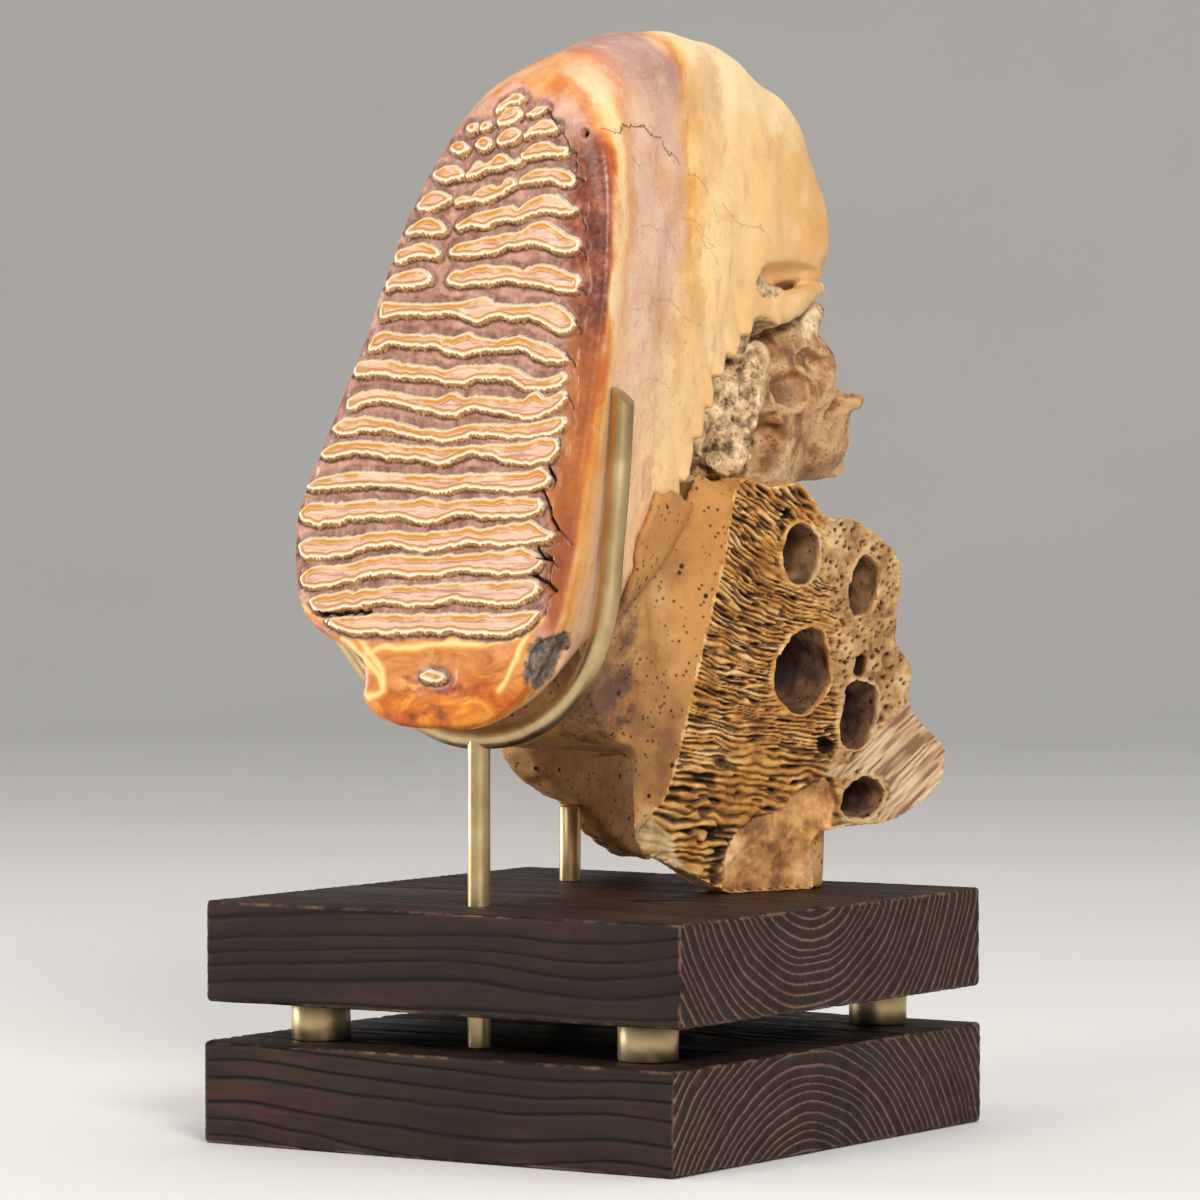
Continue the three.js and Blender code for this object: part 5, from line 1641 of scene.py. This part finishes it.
CRADLE_LINE = [
    (56, 268), (54, 236), (51.5, 212), (49, 190), (42, 171), (30, 156.5), (13, 147.2), (-4.4, 144.8),
    (-15, 145.6), (-26, 149), (-36.5, 154), (-45.5, 161), (-54, 170), (-63, 181), (-70.5, 194), (-74, 208),
    (-73, 222), (-69, 238), (-62.5, 252), (-56, 266),
]
CRADLE_Y = -69.8
BAR_RADIUS = 4
# Each rod's place, and its outline from the bottom up as (radius, height)
RODS = {
    "front_rod": ((-4.4, CRADLE_Y), [(3.7, 14), (4, 14.3), (4, 60), (4, 100), (4, 143.6)]),
    "rear_rod": ((-46, 51), [(3.7, 62), (4, 62.3), (4, 90), (4, 113.1), (3.7, 113.5)]),
}
SPACERS = {
    "spacer_front_left": (-66, -79), "spacer_front_right": (72, -79),
    "spacer_back_left": (-68, 79), "spacer_back_right": (70, 79),
}
SPACER_PROFILE = [(9.6, 36.5), (10.2, 36.7), (10.5, 37.2), (10.5, 49.3), (10.2, 49.8), (9.6, 50)]


def smooth_path(points, spacing=1.5):
    p = np.asarray(points, float)
    first, last = 2 * p[0] - p[1], 2 * p[-1] - p[-2]
    p = np.concatenate([[first], p, [last]])
    out = []
    for k in range(1, len(p) - 2):
        t0, t1, t2, t3 = 0, *np.cumsum([np.linalg.norm(p[k + i] - p[k - 1 + i]) ** 0.5 for i in range(3)])
        steps = max(2, int(np.linalg.norm(p[k + 1] - p[k]) / spacing))
        for t in t1 + (t2 - t1) * np.arange(steps) / steps:
            a1 = (t1 - t) / (t1 - t0) * p[k - 1] + (t - t0) / (t1 - t0) * p[k]
            a2 = (t2 - t) / (t2 - t1) * p[k] + (t - t1) / (t2 - t1) * p[k + 1]
            a3 = (t3 - t) / (t3 - t2) * p[k + 1] + (t - t2) / (t3 - t2) * p[k + 2]
            b1 = (t2 - t) / (t2 - t0) * a1 + (t - t0) / (t2 - t0) * a2
            b2 = (t3 - t) / (t3 - t1) * a2 + (t - t1) / (t3 - t1) * a3
            out.append((t2 - t) / (t2 - t1) * b1 + (t - t1) / (t2 - t1) * b2)
    out.append(p[-2])
    return np.array(out)


def tube(rings):
    """A closed tube from rings of points, (n, sides, 3), with its ends filled to their centres."""
    n, sides, _ = rings.shape
    points = np.concatenate([rings.reshape(-1, 3), rings[:1].mean(1), rings[-1:].mean(1)])
    i, j = np.meshgrid(np.arange(n - 1), np.arange(sides), indexing="ij")
    a, b = i * sides + j, i * sides + (j + 1) % sides
    quads = np.stack([a, b, b + sides, a + sides], -1).reshape(-1, 4)
    k, last = np.arange(sides), (n - 1) * sides
    after = (k + 1) % sides
    start = np.stack([np.full(sides, n * sides), after, k], 1)
    end = np.stack([np.full(sides, n * sides + 1), last + k, last + after], 1)
    return points, quads.tolist() + start.tolist() + end.tolist()


def make_tube(node, rings, material):
    name = "brass_" + node
    points, faces = tube(rings)
    mesh = bpy.data.meshes.new(name)
    mesh.from_pydata([tuple(p * MM) for p in points], [], faces)
    mesh.validate()
    mesh.update()
    mesh.shade_smooth()
    mesh.set_sharp_from_angle(angle=math.radians(38))
    mesh.materials.append(material)
    ob = bpy.data.objects.new(name, mesh)
    bpy.context.scene.collection.objects.link(ob)
    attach(ob, "root")
    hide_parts(node)


def upright_rings(x, y, profile, sides=40):
    a = np.arange(sides) / sides * 2 * np.pi
    return np.array(
        [np.stack([x + r * np.cos(a), y + r * np.sin(a), np.full(sides, z)], 1) for r, z in profile]
    )


def build_cradle(material):
    line = smooth_path([(x, CRADLE_Y, z) for x, z in CRADLE_LINE])
    forward = np.gradient(line, axis=0)
    forward /= np.linalg.norm(forward, axis=1)[:, None]
    side = np.array([0, 1.0, 0])
    out = np.cross(forward, side)
    a = np.arange(32) / 32 * 2 * np.pi
    rings = (
        line[:, None] + BAR_RADIUS * (np.cos(a)[None, :, None] * side + np.sin(a)[None, :, None]
        * out[:, None])
    )
    # The right tip is cut on a slant
    slant = math.radians(40)
    normal = np.array([math.sin(slant), 0, math.cos(slant)])
    point = np.array([56, CRADLE_Y, 264.0])
    for i in range(12):
        over = (rings[i] - point) @ normal
        move = np.maximum(over, 0) / (forward[i] @ normal)
        rings[i] = rings[i] - move[:, None] * forward[i]
    make_tube("cradle", rings[:, ::-1], material)


def build_brass():
    material = brass_material()
    build_cradle(material)
    for node, (place, profile) in RODS.items():
        make_tube(node, upright_rings(*place, profile), material)
    for node, place in SPACERS.items():
        make_tube(node, upright_rings(*place, SPACER_PROFILE, 56), material)


def brass_material():
    f = Finish("satin_brass", Metallic=1.0, Roughness=0.3)
    fine = f.noise(900, 3, 0.6, f.stretch((1, 1, 0.15)))
    wide = f.noise(60, 3, 0.6)
    colour = f.ramp(wide, [(0.3, "B59C70"), (0.5, "C6AE82"), (0.7, "D2BD94")])
    rough = f.ranged(f.plus(wide, f.times(fine, 0.4)), 0.5, 0.9, 0.3, 0.42)
    return f.done(colour, rough, f.bump(fine, 0.08, 0.05))


# Everything

look_from_front_right()
floor = pale_bowl()
pale = Finish("pale_floor", Roughness=0.7)
floor.data.materials.append(pale.done(pale.ramp(pale.noise(3, 2, 0.5), [(0.3, "DEDCD8"), (0.7, "E2E0DC")])))
lamp("key", (1.9, -1.75, 1.5), (0, 0, 0.22), 0.7, 60, (1.0, 0.97, 0.93))
lamp("front", (-0.5, -2.2, 1.5), (0, 0, 0.2), 0.9, 20, (1.0, 0.97, 0.93))
lamp("left", (-2.1, -0.5, 0.4), (0, 0, 0.12), 0.8, 24, (1.0, 0.96, 0.9))
lamp("top", (0.2, 0.5, 2.2), (0, 0, 0.2), 1.6, 20)
world = bpy.data.worlds.new("studio")
world.use_nodes = True
world.node_tree.nodes["Background"].inputs[0].default_value = (0.96, 0.97, 1.0, 1)
world.node_tree.nodes["Background"].inputs[1].default_value = 0.36
bpy.context.scene.world = world
bpy.context.scene.view_settings.view_transform = "Standard"

build_crown()
build_roots()
build_jaw()
build_board("lower_board", LOWER_BOARD)
build_board("upper_board", UPPER_BOARD)
build_brass()
